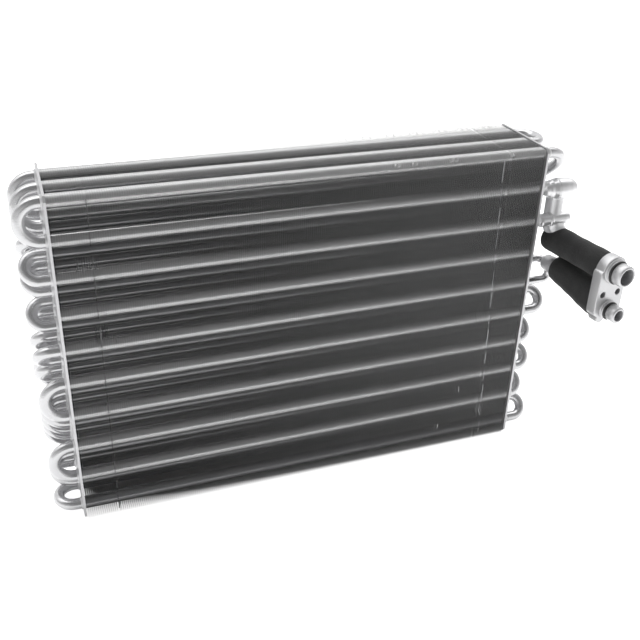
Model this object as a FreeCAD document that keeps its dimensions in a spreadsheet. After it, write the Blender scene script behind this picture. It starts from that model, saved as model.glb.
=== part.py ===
"""Evaporator core of a vehicle air conditioner, in millimetres.

Round tubes run the length of the core in five staggered columns. Hairpin tubes turn
at the left end, and short return bends join their open ends at the right end, so that
the refrigerant winds through the whole block. A stack of thin upright fins and two end
plates hold the tubes. At the right end two tubes empty into a riser that bends forward
as the outlet pipe, and a thin liquid pipe feeds two others through a distributor. Both
pipes wear a foam wrap and end in one connection flange with two ribbed stubs.

Frame: +X along the core to the pipes, +Y to the back, +Z up, with the origin in the
middle of the underside, where the end plates stand.
"""
import FreeCAD, Part
import math
import os
import Sketcher
from FreeCAD import Placement, Rotation, Vector

SIZES = {
    # core
    "core_width": 338.0,
    "core_depth": 66.0,
    "core_height": 241.3,
    "plate_thickness": 1.6,
    "plate_corner": 3.0,
    # tube bank: columns go back from the front face, levels go down from the top
    "tube_od": 8.0,
    "row_pitch": 11.0,
    "first_row": 11.0,
    "first_level": 6.35,
    "last_level": 6.35,
    "seat_clearance": 0.1,
    "hairpin_reach": 19.3,
    "leg_out": 5.0,
    "return_reach": 15.0,
    "long_return_reach": 26.0,
    "middle_return_reach": 21.0,
    "bend_lead": 1.0,
    # fins
    "fin_count": 60,
    "fin_thickness": 0.25,
    "fin_inset": 0.5,
    # outlet riser and pipe
    "riser_offset": 23.5,
    "pipe_length": 55.0,
    "pipe_angle": 8.5,
    "outlet_od": 16.0,
    "outlet_wall": 1.5,
    "riser_cap": 1.5,
    "elbow_radius": 10.6,
    "riser_over_tube": 3.4,
    # liquid pipe, distributor and feed tubes
    "stub_spacing": 30.0,
    "liquid_od": 9.5,
    "liquid_wall": 1.0,
    "liquid_lead": 5.0,
    "distributor_od": 13.0,
    "distributor_front": 9.0,
    "distributor_back": 4.0,
    "feed_od": 6.0,
    "feed_corner": 5.0,
    "feed_seat": 2.5,
    # foam wraps
    "foam_clearance": 0.3,
    "outlet_foam_od": 20.4,
    "liquid_foam_od": 19.4,
    "foam_rise_end": 0.6,
    "foam_gap": 0.4,
    "foam_lead": 1.6,
    "foam_under_tube": 0.65,
    "wrap_gap_front": 2.6,
    "wrap_gap_back": 0.75,
    "cut_overrun": 1.0,
    # connection flange and its stubs
    "flange_thickness": 8.0,
    "flange_half_width": 12.5,
    "flange_shoulder": 1.0,
    "flange_foot": 4.5,
    "flange_corner": 5.0,
    "shoulder_cut": 2.5,
    "lobe_radius": 10.8,
    "collar_od": 18.6,
    "collar_length": 0.8,
    "lug_radius": 4.0,
    "lug_offset": 5.0,
    "lug_drop": 1.5,
    "lug_thickness": 5.0,
    "stub_length": 11.5,
    "stub_lead": 1.0,
    "outlet_stub_od": 15.9,
    "outlet_bore": 12.0,
    "liquid_stub_od": 12.2,
    "liquid_bore": 8.0,
    "ring_place": 3.0,
    "ring_section": 2.0,
    "ring_crown": 0.5,
    "ring_proud": 0.85,
    "ring_side_gap": 0.3,
    "screw_hole": 4.2,
    "screw_spacing": 14.0,
    "screw_drop": 17.4,
}
# A tube is given as (column, level): columns 0 to 4 go from front to back, and levels
# count tube pitches from the top. Odd columns sit half a pitch lower. The levels share
# out the core's height evenly, which makes the pitch 25.4 here.
HAIRPINS = (
    ((0, 0), (0, 1)),
    ((2, 0), (2, 1)),
    ((4, 0), (4, 1)),
    ((0, 2), (1, 1.5)),
    ((2, 2), (1, 2.5)),
    ((4, 2), (3, 1.5)),
    ((2, 3), (1, 3.5)),
    ((4, 3), (3, 2.5)),
    ((4, 4), (3, 3.5)),
    ((2, 4), (3, 4.5)),
    ((0, 4), (1, 4.5)),
    ((2, 5), (3, 5.5)),
    ((4, 5), (4, 6)),
    ((0, 5), (0, 6)),
    ((1, 5.5), (1, 6.5)),
    ((2, 6), (2, 7)),
    ((0, 7), (0, 8)),
    ((1, 7.5), (1, 8.5)),
    ((4, 7), (4, 8)),
    ((2, 8), (3, 8.5)),
    ((3, 6.5), (3, 7.5)),
    ((0, 9), (2, 9)),
)
RETURN_BENDS = (
    ((0, 0), (2, 1), "middle_return_reach"),
    ((2, 0), (4, 0), "middle_return_reach"),
    ((4, 1), (3, 1.5), "return_reach"),
    ((4, 2), (3, 2.5), "return_reach"),
    ((4, 3), (4, 4), "middle_return_reach"),
    ((3, 3.5), (2, 4), "return_reach"),
    ((3, 4.5), (4, 5), "return_reach"),
    ((4, 6), (3, 5.5), "return_reach"),
    ((2, 5), (2, 6), "middle_return_reach"),
    ((2, 7), (3, 6.5), "return_reach"),
    ((3, 7.5), (4, 7), "return_reach"),
    ((4, 8), (3, 8.5), "return_reach"),
    ((2, 8), (2, 9), "middle_return_reach"),
    ((0, 9), (1, 8.5), "long_return_reach"),
    ((1, 7.5), (0, 8), "return_reach"),
    ((0, 7), (1, 6.5), "middle_return_reach"),
    ((1, 5.5), (0, 6), "return_reach"),
    ((0, 5), (1, 4.5), "long_return_reach"),
    ((2, 3), (1, 2.5), "return_reach"),
    ((2, 2), (1, 1.5), "return_reach"),
)
OUTLET_TUBES = ((0, 1), (0, 2))
LOWER_FEED = (0, 4)
UPPER_FEED = (1, 3.5)
LAST_LEVEL = 9
LAST_COLUMN = 4
TUBE_SIDES = 8
PIPE_SIDES = 16
STUB_SIDES = 24
BEND_STEPS = 5
ELBOW_STEPS = 3


def rounded(radius, sides):
    """Return the corner radius of a flat-sided section with the circle's area."""
    share = 2 * math.pi / sides
    return f"({radius} * {math.sqrt(share / math.sin(share)):.6f})"


def around(radius, sides):
    """Return the corner radius of a flat-sided hole whose sides clear a radius."""
    return f"(({radius} + Sizes.seat_clearance) / cos({180 / sides}))"


TUBE_RADIUS = rounded("Sizes.tube_od / 2", TUBE_SIDES)
RISER_RADIUS = rounded("Sizes.outlet_od / 2", PIPE_SIDES)
FEED_RADIUS = rounded("Sizes.feed_od / 2", TUBE_SIDES)
TUBE_PITCH = f"((Sizes.core_height - Sizes.first_level - Sizes.last_level) / {LAST_LEVEL})"
FOAM_START = "(Sizes.elbow_radius + Sizes.foam_lead)"

doc = FreeCAD.newDocument("EvaporatorCore")
sheet = doc.addObject("Spreadsheet::Sheet", "Sizes")
for line, (alias, number) in enumerate(SIZES.items(), start=1):
    sheet.set(f"A{line}", alias)
    sheet.set(f"B{line}", str(number))
    sheet.setAlias(f"B{line}", alias)
doc.recompute()
parts = []


def value(expression):
    """Work an expression of the sheet's cells out as a number."""
    result = sheet.evalExpression(expression)
    return float(getattr(result, "Value", result))


def seat_across(tube):
    return f"(Sizes.first_row + {tube[0]} * Sizes.row_pitch)"


def seat_height(tube):
    return f"(Sizes.core_height - Sizes.first_level - {tube[1]} * {TUBE_PITCH})"


# The outlet pipe's wrap starts close under the lower outlet tube, just above the elbow.
PORT_LEVEL = f"({seat_height(OUTLET_TUBES[1])} - Sizes.tube_od / 2"
PORT_LEVEL += f" - Sizes.foam_under_tube - {FOAM_START})"


def seat(tube):
    """Return a tube's place in the core's cross section."""
    across = value(f"{seat_across(tube)} - Sizes.core_depth / 2")
    return Vector(0, across, value(seat_height(tube)))


def spacing_of(first, second):
    columns = abs(first[0] - second[0])
    levels = abs(first[1] - second[1])
    return f"sqrt(({columns} * Sizes.row_pitch)^2 + ({levels} * {TUBE_PITCH})^2)"


def new_body(label, placement):
    """Start one piece, which is exported under its label."""
    body = doc.addObject("PartDesign::Body", label)
    body.Label = label
    body.Placement = placement
    parts.append(body)
    return body


def new_sketch(body, plane, name, offset=None):
    """Add a sketch on one of the body's own planes, moved along its normal."""
    sketch = body.newObject("Sketcher::SketchObject", f"{body.Name}_{name}")
    support = next(item for item in body.Origin.OriginFeatures if item.Role == plane)
    sketch.AttachmentSupport = (support, [""])
    sketch.MapMode = "FlatFace"
    if offset:
        sketch.setExpression("AttachmentOffset.Base.z", offset)
    return sketch


def bind(sketch, name, expression, kind, *where):
    """Add a constraint whose size follows an expression of the sheet's cells."""
    number = sketch.addConstraint(Sketcher.Constraint(kind, *where, value(expression)))
    sketch.renameConstraint(number, name)
    sketch.setExpression(f"Constraints.{name}", expression)


def bind_point(sketch, name, geometry, point, across=None, up=None):
    """Tie a point's distances from the origin to expressions, or to an axis for 0."""
    for kind, axis, expression in (("DistanceX", -2, across), ("DistanceY", -1, up)):
        if expression is None:
            continue
        label = f"{name}_{kind}"
        if expression == "0":
            on_axis = Sketcher.Constraint("PointOnObject", geometry, point, axis)
            sketch.addConstraint(on_axis)
        elif value(expression) > 0:
            bind(sketch, label, expression, kind, -1, 1, geometry, point)
        else:
            bind(sketch, label, f"-({expression})", kind, geometry, point, -1, 1)


def add_lines(sketch, points, closed):
    """Draw lines from point to point and join their ends."""
    ends = points[1:] + points[:1] if closed else points[1:]
    first = sketch.GeometryCount
    sketch.addGeometry([Part.LineSegment(*pair) for pair in zip(points, ends)], False)
    lines = list(range(first, sketch.GeometryCount))
    joints = list(zip(lines, lines[1:])) + ([(lines[-1], lines[0])] if closed else [])
    sketch.addConstraint([Sketcher.Constraint("Coincident", line, 2, following, 1)
                          for line, following in joints])
    return lines


def add_circle(sketch, name, radius, across="0", up="0", guide=False):
    """Draw a circle whose radius and centre follow expressions."""
    centre = Vector(value(across), value(up), 0)
    circle = sketch.addGeometry(Part.Circle(centre, Vector(0, 0, 1), value(radius)), guide)
    bind(sketch, f"{name}_radius", radius, "Radius", circle)
    bind_point(sketch, name, circle, 3, across, up)
    return circle


def add_polygon(sketch, name, radius, sides, across="0", up="0"):
    """Draw a regular outline of flat sides, one of them level at its top."""
    guide = add_circle(sketch, name, radius, across, up, guide=True)
    centre = Vector(value(across), value(up), 0)
    turns = [math.pi / 2 + 2 * math.pi * (side - 0.5) / sides for side in range(sides)]
    corners = [centre + Vector(math.cos(t), math.sin(t), 0) * value(radius) for t in turns]
    lines = add_lines(sketch, corners, closed=True)
    sketch.addConstraint(
        [Sketcher.Constraint("PointOnObject", line, 1, guide) for line in lines]
        + [Sketcher.Constraint("Equal", lines[0], line) for line in lines[1:]]
        + [Sketcher.Constraint("Horizontal", lines[0])])


def add_outline(sketch, name, corners):
    """Draw a closed outline through corners given as pairs of expressions.

    A side whose ends share an expression is level or upright, and the next corner
    takes that distance from it.
    """
    points = [Vector(value(across), value(up), 0) for across, up in corners]
    lines = add_lines(sketch, points, closed=True)
    bind_point(sketch, f"{name}_0", lines[0], 1, *corners[0])
    for number, (line, start, end) in enumerate(zip(lines, corners, corners[1:]), start=1):
        across, up = end
        if start[0] == across:
            sketch.addConstraint(Sketcher.Constraint("Vertical", line))
            across = None
        if start[1] == up:
            sketch.addConstraint(Sketcher.Constraint("Horizontal", line))
            up = None
        bind_point(sketch, f"{name}_{number}", line, 2, across, up)
    return lines


def add_rectangle(sketch, name, left, bottom, right, top):
    """Draw an upright rectangle whose four sides follow expressions."""
    corners = [(left, bottom), (right, bottom), (right, top), (left, top)]
    return add_outline(sketch, name, corners)


def add_pad(body, sketch, length, name, backwards=False):
    pad = body.newObject("PartDesign::Pad", f"{body.Name}_{name}")
    pad.Profile = sketch
    pad.Reversed = backwards
    pad.setExpression("Length", length)
    return pad


def add_pocket(body, sketch, name, backwards=False):
    """Cut a sketch right through the piece."""
    pocket = body.newObject("PartDesign::Pocket", f"{body.Name}_{name}")
    pocket.Profile = sketch
    pocket.Type = "ThroughAll"
    pocket.Reversed = backwards
    return pocket


def level_edges(feature, direction, test):
    """Name a feature's straight edges along one direction whose middle passes a test."""
    doc.recompute()
    names = []
    for number, edge in enumerate(feature.Shape.Edges, start=1):
        straight = isinstance(edge.Curve, Part.Line)
        if straight and abs(edge.Curve.Direction.dot(direction)) > 0.999:
            if test(edge.BoundBox.Center):
                names.append(f"Edge{number}")
    return names


def add_dressing(kind, body, feature, edges, size, name):
    """Round or bevel some edges of a feature."""
    dressing = body.newObject(f"PartDesign::{kind}", f"{body.Name}_{name}")
    dressing.Base = (feature, edges)
    dressing.setExpression("Radius" if kind == "Fillet" else "Size", size)
    return dressing


def add_row(body, feature, sketch, axis, length, count, name):
    """Repeat a feature along one axis of its sketch."""
    row = body.newObject("PartDesign::LinearPattern", f"{body.Name}_{name}")
    row.Originals = [feature]
    row.Direction = (sketch, [axis])
    row.setExpression("Length", length)
    row.Occurrences = count
    body.Tip = row
    return row


def add_sweep(body, section, path, name, cut=False):
    """Sweep a section along a path, with mitred corners."""
    kind = "PartDesign::SubtractivePipe" if cut else "PartDesign::AdditivePipe"
    sweep = body.newObject(kind, f"{body.Name}_{name}")
    sweep.Profile = section
    sweep.Spine = path
    sweep.Transition = "Right corner"
    return sweep


def bend_path(body, spacing, run):
    """Draw a path that goes out along one leg, turns round and comes back.

    The half turn is drawn with chords of its circle, so that the swept tube has a few
    flat facets in place of a round surface.
    """
    sketch = new_sketch(body, "XY_Plane", "path")
    radius = value(spacing) / 2
    middle = Vector(value(run), 0, 0)
    turns = [math.pi * step / BEND_STEPS for step in range(BEND_STEPS + 1)]
    arc = [middle + Vector(math.sin(t), math.cos(t), 0) * radius for t in turns]
    lines = add_lines(sketch, [Vector(0, radius, 0), *arc, Vector(0, -radius, 0)], closed=False)
    chords = lines[1:-1]
    guide = sketch.addGeometry(Part.Circle(middle, Vector(0, 0, 1), radius), True)
    sketch.addConstraint(Sketcher.Constraint("PointOnObject", guide, 3, -1))
    bind(sketch, "run", run, "DistanceX", -1, 1, guide, 3)
    bind(sketch, "bend_radius", f"{spacing} / 2", "Radius", guide)
    for leg, inner, outer in ((lines[0], 2, 1), (lines[-1], 1, 2)):
        sketch.addConstraint(Sketcher.Constraint("Horizontal", leg))
        sketch.addConstraint(Sketcher.Constraint("Vertical", leg, inner, guide, 3))
        sketch.addConstraint(Sketcher.Constraint("PointOnObject", leg, outer, -2))
    for chord in chords:
        sketch.addConstraint(Sketcher.Constraint("PointOnObject", chord, 1, guide))
    sketch.addConstraint(Sketcher.Constraint("PointOnObject", chords[-1], 2, guide))
    for chord in chords[1:]:
        sketch.addConstraint(Sketcher.Constraint("Equal", chords[0], chord))
    return sketch


def bent_tube(label, first, second, start, outward, run):
    """Build a tube that joins two seats with a half turn.

    Its two ends lie in the plane x = start, and it reaches along X by the run, which
    is the straight length of its legs, and by the bend itself.
    """
    ends = [seat(first), seat(second)]
    middle = (ends[0] + ends[1]) / 2
    middle.x = value(start)
    along = Vector(outward, 0, 0)
    across = (ends[0] - ends[1]).normalize()
    turn = Rotation(along, across, along.cross(across), "XYZ")
    body = new_body(label, Placement(middle, turn))
    spacing = spacing_of(first, second)
    path = bend_path(body, spacing, run)
    section = new_sketch(body, "YZ_Plane", "section")
    add_polygon(section, "tube", TUBE_RADIUS, TUBE_SIDES, across=f"{spacing} / 2")
    add_sweep(body, section, path, "tube")


def hairpins():
    """Build the long hairpin tubes, which turn at the left end of the core."""
    right_end = "(Sizes.core_width / 2 + Sizes.leg_out)"
    for number, (first, second) in enumerate(HAIRPINS, start=1):
        bend = f"({spacing_of(first, second)} / 2 + {TUBE_RADIUS})"
        run = f"Sizes.core_width + Sizes.leg_out + Sizes.hairpin_reach - {bend}"
        bent_tube(f"hairpin_{number:02d}", first, second, right_end, -1, run)


def return_bends():
    """Build the short bends brazed to the open ends of the hairpins."""
    right_end = "(Sizes.core_width / 2 + Sizes.leg_out)"
    for number, (first, second, reach) in enumerate(RETURN_BENDS, start=1):
        bend = f"({spacing_of(first, second)} / 2 + {TUBE_RADIUS})"
        longer = f"max(Sizes.{reach}; {bend} + Sizes.leg_out + Sizes.bend_lead)"
        run = f"{longer} - Sizes.leg_out - {bend}"
        bent_tube(f"return_bend_{number:02d}", first, second, right_end, 1, run)


def tube_rows():
    """Return each unbroken run of tubes in a column as its lowest tube and its count."""
    tubes = {tube for pair in HAIRPINS for tube in pair}
    rows = []
    for tube in sorted(tubes, key=lambda item: (item[0], -item[1])):
        if (tube[0], tube[1] + 1) in tubes:
            lowest, count = rows[-1]
            rows[-1] = (lowest, count + 1)
        else:
            rows.append((tube, 1))
    return rows


def end_plate(label, left_face):
    """Build a sheet end plate with bevelled corners and a close hole for every tube."""
    corner = Vector(value(left_face), value("-Sizes.core_depth / 2"), 0)
    body = new_body(label, Placement(corner, Rotation()))
    outline = new_sketch(body, "YZ_Plane", "outline")
    add_rectangle(outline, "plate", "0", "0", "Sizes.core_depth", "Sizes.core_height")
    sheet_pad = add_pad(body, outline, "Sizes.plate_thickness", "sheet")
    corners = level_edges(sheet_pad, Vector(1, 0, 0), lambda middle: True)
    add_dressing("Chamfer", body, sheet_pad, corners, "Sizes.plate_corner", "corners")
    for lowest, count in tube_rows():
        name = f"column_{lowest[0]}_{int(lowest[1])}"
        hole = new_sketch(body, "YZ_Plane", name)
        add_polygon(hole, "hole", around(TUBE_RADIUS, TUBE_SIDES), TUBE_SIDES,
                    seat_across(lowest), seat_height(lowest))
        pocket = add_pocket(body, hole, f"{name}_hole", backwards=True)
        length = f"{count - 1} * {TUBE_PITCH}"
        add_row(body, pocket, hole, "V_Axis", length, count, f"{name}_row")


def fin_pack():
    """Build the stack of upright fins, each open in the middle around the tube bank.

    The window's edges touch the outer tubes with the same clearance as the plates.
    """
    margin = f"({TUBE_RADIUS} + Sizes.seat_clearance)"
    left_face = value("-Sizes.core_width / 2 + Sizes.plate_thickness")
    corner = Vector(left_face, value("-Sizes.core_depth / 2"), 0)
    body = new_body("fin_pack", Placement(corner, Rotation()))
    body.AllowCompound = True
    pitch = "((Sizes.core_width - 2 * Sizes.plate_thickness - Sizes.fin_thickness)"
    pitch += " / (Sizes.fin_count + 1))"
    sheet_outline = new_sketch(body, "YZ_Plane", "outline", offset=pitch)
    inset = "Sizes.fin_inset"
    add_rectangle(sheet_outline, "fin", inset, inset, f"Sizes.core_depth - {inset}",
                  f"Sizes.core_height - {inset}")
    first, last = (0, 0), (LAST_COLUMN, LAST_LEVEL)
    add_rectangle(sheet_outline, "window", f"{seat_across(first)} - {margin}",
                  f"{seat_height(last)} - {margin}", f"{seat_across(last)} + {margin}",
                  f"{seat_height(first)} + {margin}")
    fin = add_pad(body, sheet_outline, "Sizes.fin_thickness", "sheet")
    row = body.newObject("PartDesign::LinearPattern", "fin_pack_row")
    row.Originals = [fin]
    row.Direction = (sheet_outline, ["N_Axis"])
    row.setExpression("Length", f"(Sizes.fin_count - 1) * {pitch}")
    row.setExpression("Occurrences", "Sizes.fin_count")
    body.Tip = row


def port_placement():
    """Place the pipes' own frame: +Z up the riser, -Y along the outlet pipe."""
    across = value("Sizes.core_width / 2 + Sizes.riser_offset")
    origin = Vector(across, seat((0, 0)).y, value(PORT_LEVEL))
    return Placement(origin, Rotation(Vector(0, 0, 1), value("Sizes.pipe_angle")))


def elbow_path(body, name, top, far):
    """Draw a path down the riser, round the elbow and forward along the outlet pipe."""
    sketch = new_sketch(body, "YZ_Plane", name)
    radius = value("Sizes.elbow_radius")
    middle = Vector(-radius, radius, 0)
    turns = [math.pi / 2 * step / ELBOW_STEPS for step in range(ELBOW_STEPS + 1)]
    arc = [middle + Vector(math.cos(t), -math.sin(t), 0) * radius for t in turns]
    points = [Vector(0, value(top), 0), *arc, Vector(-value(far), 0, 0)]
    lines = add_lines(sketch, points, closed=False)
    guide = sketch.addGeometry(Part.Circle(middle, Vector(0, 0, 1), radius), True)
    bind(sketch, "elbow_radius", "Sizes.elbow_radius", "Radius", guide)
    bind(sketch, "elbow_back", "Sizes.elbow_radius", "DistanceX", guide, 3, -1, 1)
    bind(sketch, "elbow_up", "Sizes.elbow_radius", "DistanceY", -1, 1, guide, 3)
    sketch.addConstraint(Sketcher.Constraint("PointOnObject", lines[0], 1, -2))
    sketch.addConstraint(Sketcher.Constraint("PointOnObject", lines[0], 2, -2))
    sketch.addConstraint(Sketcher.Constraint("Horizontal", lines[0], 2, guide, 3))
    sketch.addConstraint(Sketcher.Constraint("PointOnObject", lines[-1], 1, -1))
    sketch.addConstraint(Sketcher.Constraint("PointOnObject", lines[-1], 2, -1))
    sketch.addConstraint(Sketcher.Constraint("Vertical", lines[-1], 1, guide, 3))
    for chord in lines[2:-1]:
        sketch.addConstraint(Sketcher.Constraint("PointOnObject", chord, 1, guide))
        sketch.addConstraint(Sketcher.Constraint("Equal", lines[1], chord))
    bind(sketch, "top", top, "DistanceY", -1, 1, lines[0], 1)
    bind(sketch, "far", far, "DistanceX", lines[-1], 2, -1, 1)
    return sketch


def outlet_pipe():
    """Build the riser, closed at its top, that bends forward as the outlet pipe."""
    body = new_body("outlet_pipe", port_placement())
    first_tube = seat_height(OUTLET_TUBES[0])
    top = f"({first_tube} + Sizes.riser_over_tube - {PORT_LEVEL})"
    path = elbow_path(body, "path", top, "Sizes.pipe_length")
    section = new_sketch(body, "XY_Plane", "section", offset=top)
    inner = rounded("(Sizes.outlet_od / 2 - Sizes.outlet_wall)", PIPE_SIDES)
    add_polygon(section, "outer", RISER_RADIUS, PIPE_SIDES)
    add_polygon(section, "inner", inner, PIPE_SIDES)
    add_sweep(body, section, path, "tube")
    cap = new_sketch(body, "XY_Plane", "cap", offset=top)
    add_polygon(cap, "cap", RISER_RADIUS, PIPE_SIDES)
    add_pad(body, cap, "Sizes.riser_cap", "cap_disc")


def outlet_tube(label, tube):
    """Build a short tube from a hairpin's end to a saddle against the riser."""
    start = seat(tube)
    start.x = value("Sizes.core_width / 2 + Sizes.leg_out")
    body = new_body(label, Placement(start, Rotation()))
    section = new_sketch(body, "YZ_Plane", "section")
    add_polygon(section, "tube", TUBE_RADIUS, TUBE_SIDES)
    reach = "(Sizes.riser_offset - Sizes.leg_out)"
    add_pad(body, section, reach, "tube")
    saddle = new_sketch(body, "XY_Plane", "saddle", offset="-Sizes.tube_od")
    add_circle(saddle, "riser", f"{RISER_RADIUS} + Sizes.seat_clearance", reach)
    add_pocket(body, saddle, "saddle_cut", backwards=True)


def outlet_foam():
    """Build the foam wrap that starts on the riser and covers the outlet pipe."""
    body = new_body("outlet_foam_wrap", port_placement())
    far = "(Sizes.pipe_length - Sizes.foam_gap)"
    path = elbow_path(body, "path", FOAM_START, far)
    section = new_sketch(body, "XY_Plane", "section", offset=FOAM_START)
    inner = rounded("(Sizes.outlet_od / 2 + Sizes.foam_clearance)", PIPE_SIDES)
    add_polygon(section, "outer", rounded("Sizes.outlet_foam_od / 2", PIPE_SIDES), PIPE_SIDES)
    add_polygon(section, "inner", inner, PIPE_SIDES)
    add_sweep(body, section, path, "foam")


def liquid_points(near, far):
    """Return the liquid pipe's path, from the flange back to the distributor."""
    drop = value("Sizes.stub_spacing")
    level = value(f"{seat_height(UPPER_FEED)} - {PORT_LEVEL}")
    lead = value("Sizes.liquid_lead")
    length = value("Sizes.pipe_length")
    front = value("Sizes.distributor_front")
    return [Vector(-length + near, -drop, 0), Vector(-length + lead, -drop, 0),
            Vector(-front - lead, level, 0), Vector(-front - far, level, 0)]


def liquid_path(body, name, near, far):
    """Draw the liquid pipe's path in the upright plane through the outlet pipe."""
    sketch = new_sketch(body, "YZ_Plane", name)
    lines = add_lines(sketch, liquid_points(value(near), value(far)), closed=False)
    level = f"({PORT_LEVEL} - {seat_height(UPPER_FEED)})"
    sketch.addConstraint(Sketcher.Constraint("Horizontal", lines[0]))
    sketch.addConstraint(Sketcher.Constraint("Horizontal", lines[-1]))
    bind(sketch, "drop", "Sizes.stub_spacing", "DistanceY", lines[0], 1, -1, 1)
    bind(sketch, "level", level, "DistanceY", lines[-1], 2, -1, 1)
    bind(sketch, "start", f"Sizes.pipe_length - {near}", "DistanceX", lines[0], 1, -1, 1)
    bind(sketch, "lead", f"Sizes.liquid_lead - {near}", "DistanceX", lines[0], 1, lines[0], 2)
    bind(sketch, "lead_end", f"Sizes.liquid_lead - {far}", "DistanceX", lines[-1], 1,
         lines[-1], 2)
    bind(sketch, "end", f"Sizes.distributor_front + {far}", "DistanceX", lines[-1], 2, -1, 1)
    return sketch


def liquid_pipe():
    """Build the thin pipe that runs from the flange back to the distributor."""
    body = new_body("liquid_pipe", port_placement())
    path = liquid_path(body, "path", "0", "0")
    section = new_sketch(body, "XZ_Plane", "section", offset="Sizes.pipe_length")
    for name, radius in (("outer", "Sizes.liquid_od / 2"),
                         ("inner", "(Sizes.liquid_od / 2 - Sizes.liquid_wall)")):
        add_polygon(section, name, rounded(radius, PIPE_SIDES), PIPE_SIDES,
                    up="-Sizes.stub_spacing")
    add_sweep(body, section, path, "tube")


def distributor():
    """Build the round block that shares the liquid between the two feed tubes."""
    placement = port_placement()
    level = value(f"{seat_height(UPPER_FEED)} - {PORT_LEVEL}")
    placement = placement.multiply(Placement(Vector(0, 0, level), Rotation()))
    body = new_body("distributor", placement)
    section = new_sketch(body, "XZ_Plane", "section", offset="-Sizes.distributor_back")
    add_polygon(section, "block", rounded("Sizes.distributor_od / 2", PIPE_SIDES), PIPE_SIDES)
    add_pad(body, section, "Sizes.distributor_front + Sizes.distributor_back", "block")
    seat_radius = around(FEED_RADIUS, TUBE_SIDES)
    under = new_sketch(body, "XY_Plane", "under",
                       offset="Sizes.feed_seat - Sizes.distributor_od / 2")
    add_polygon(under, "seat", seat_radius, TUBE_SIDES)
    add_pocket(body, under, "seat_under", backwards=False)
    behind = new_sketch(body, "XZ_Plane", "behind",
                        offset="Sizes.feed_seat - Sizes.distributor_back")
    add_polygon(behind, "seat", seat_radius, TUBE_SIDES)
    add_pocket(body, behind, "seat_behind", backwards=False)


def feed_tube(label, placement, plane, vertex, end, turn):
    """Build a feed tube that goes straight up its sketch, then turns to the left.

    The mitred bend's corner lies above the start by the vertex, and after the turn
    the tube runs on to the end, measured from that corner.
    """
    body = new_body(label, placement)
    path = new_sketch(body, plane, "path")
    radius = value("Sizes.feed_corner")
    angle = math.radians(value(turn))
    setback = radius * math.tan(angle / 2)
    rise = value(vertex)
    middle = Vector(-radius, rise - setback, 0)
    turns = [angle * step / ELBOW_STEPS for step in range(ELBOW_STEPS + 1)]
    arc = [middle + Vector(math.cos(t), math.sin(t), 0) * radius for t in turns]
    away = Vector(-math.sin(angle), math.cos(angle), 0) * value(end)
    stop = Vector(0, rise, 0) + away
    lines = add_lines(path, [Vector(0, 0, 0), *arc, stop], closed=False)
    chords = lines[1:-1]
    guide = path.addGeometry(Part.Circle(middle, Vector(0, 0, 1), radius), True)
    bind(path, "corner", "Sizes.feed_corner", "Radius", guide)
    setback_size = f"Sizes.feed_corner * tan({turn} / 2)"
    bind_point(path, "middle", guide, 3, "-Sizes.feed_corner", f"{vertex} - {setback_size}")
    bind_point(path, "start", lines[0], 1, "0", "0")
    path.addConstraint(Sketcher.Constraint("PointOnObject", lines[0], 2, -2))
    path.addConstraint(Sketcher.Constraint("Horizontal", lines[0], 2, guide, 3))
    for chord in chords:
        path.addConstraint(Sketcher.Constraint("PointOnObject", chord, 2, guide))
    for chord in chords[1:]:
        path.addConstraint(Sketcher.Constraint("Equal", chords[0], chord))
    bind_point(path, "stop", lines[-1], 2, f"-({end}) * sin({turn})",
               f"{vertex} + ({end}) * cos({turn})")
    bind(path, "last", f"{end} - {setback_size}", "Distance", lines[-1])
    side = "XY_Plane" if plane == "XZ_Plane" else "XZ_Plane"
    section = new_sketch(body, side, "section")
    add_polygon(section, "tube", FEED_RADIUS, TUBE_SIDES)
    add_sweep(body, section, path, "tube")


def feed_tubes():
    """Build the two feed tubes, one from below the distributor and one from behind it."""
    frame = port_placement()
    run = "(Sizes.riser_offset - Sizes.leg_out)"
    level = seat_height(UPPER_FEED)
    inner = "(Sizes.distributor_od / 2 - Sizes.feed_seat)"
    under = Vector(frame.Base.x, frame.Base.y, value(f"{level} - {inner}"))
    drop = f"({level} - {inner} - {seat_height(LOWER_FEED)})"
    upside_down = Rotation(Vector(1, 0, 0), Vector(0, -1, 0), Vector(0, 0, -1), "XYZ")
    feed_tube("lower_feed_tube", Placement(under, upside_down), "XZ_Plane", drop, run, "90")
    step = "(Sizes.distributor_back - Sizes.feed_seat)"
    behind = frame.multVec(Vector(0, value(step), 0))
    behind.z = value(level)
    across = f"({seat_across(UPPER_FEED)} - {seat_across(LOWER_FEED)})"
    reach = f"({across} / cos(Sizes.pipe_angle))"
    vertex = f"({reach} - {step})"
    shorter = f"({run} - {reach} * sin(Sizes.pipe_angle))"
    feed_tube("upper_feed_tube", Placement(behind, frame.Rotation), "XY_Plane", vertex,
              shorter, "(90 - Sizes.pipe_angle)")


def add_oval(sketch, radius, low, rise):
    """Draw a flat-sided round outline stretched upwards, centred on the Z axis.

    Its lower half is centred on the low point and its upper half above it by the rise.
    """
    corner_radius = rounded(radius, PIPE_SIDES)
    corners = []
    for side in range(PIPE_SIDES):
        turn = (2 * side + 1) * math.pi / PIPE_SIDES
        middle = f"{low} + {rise}" if turn < math.pi else low
        corners.append((f"{corner_radius} * {math.cos(turn):.6f}",
                        f"{middle} + {corner_radius} * {math.sin(turn):.6f}"))
    add_outline(sketch, "oval", corners)


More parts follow.
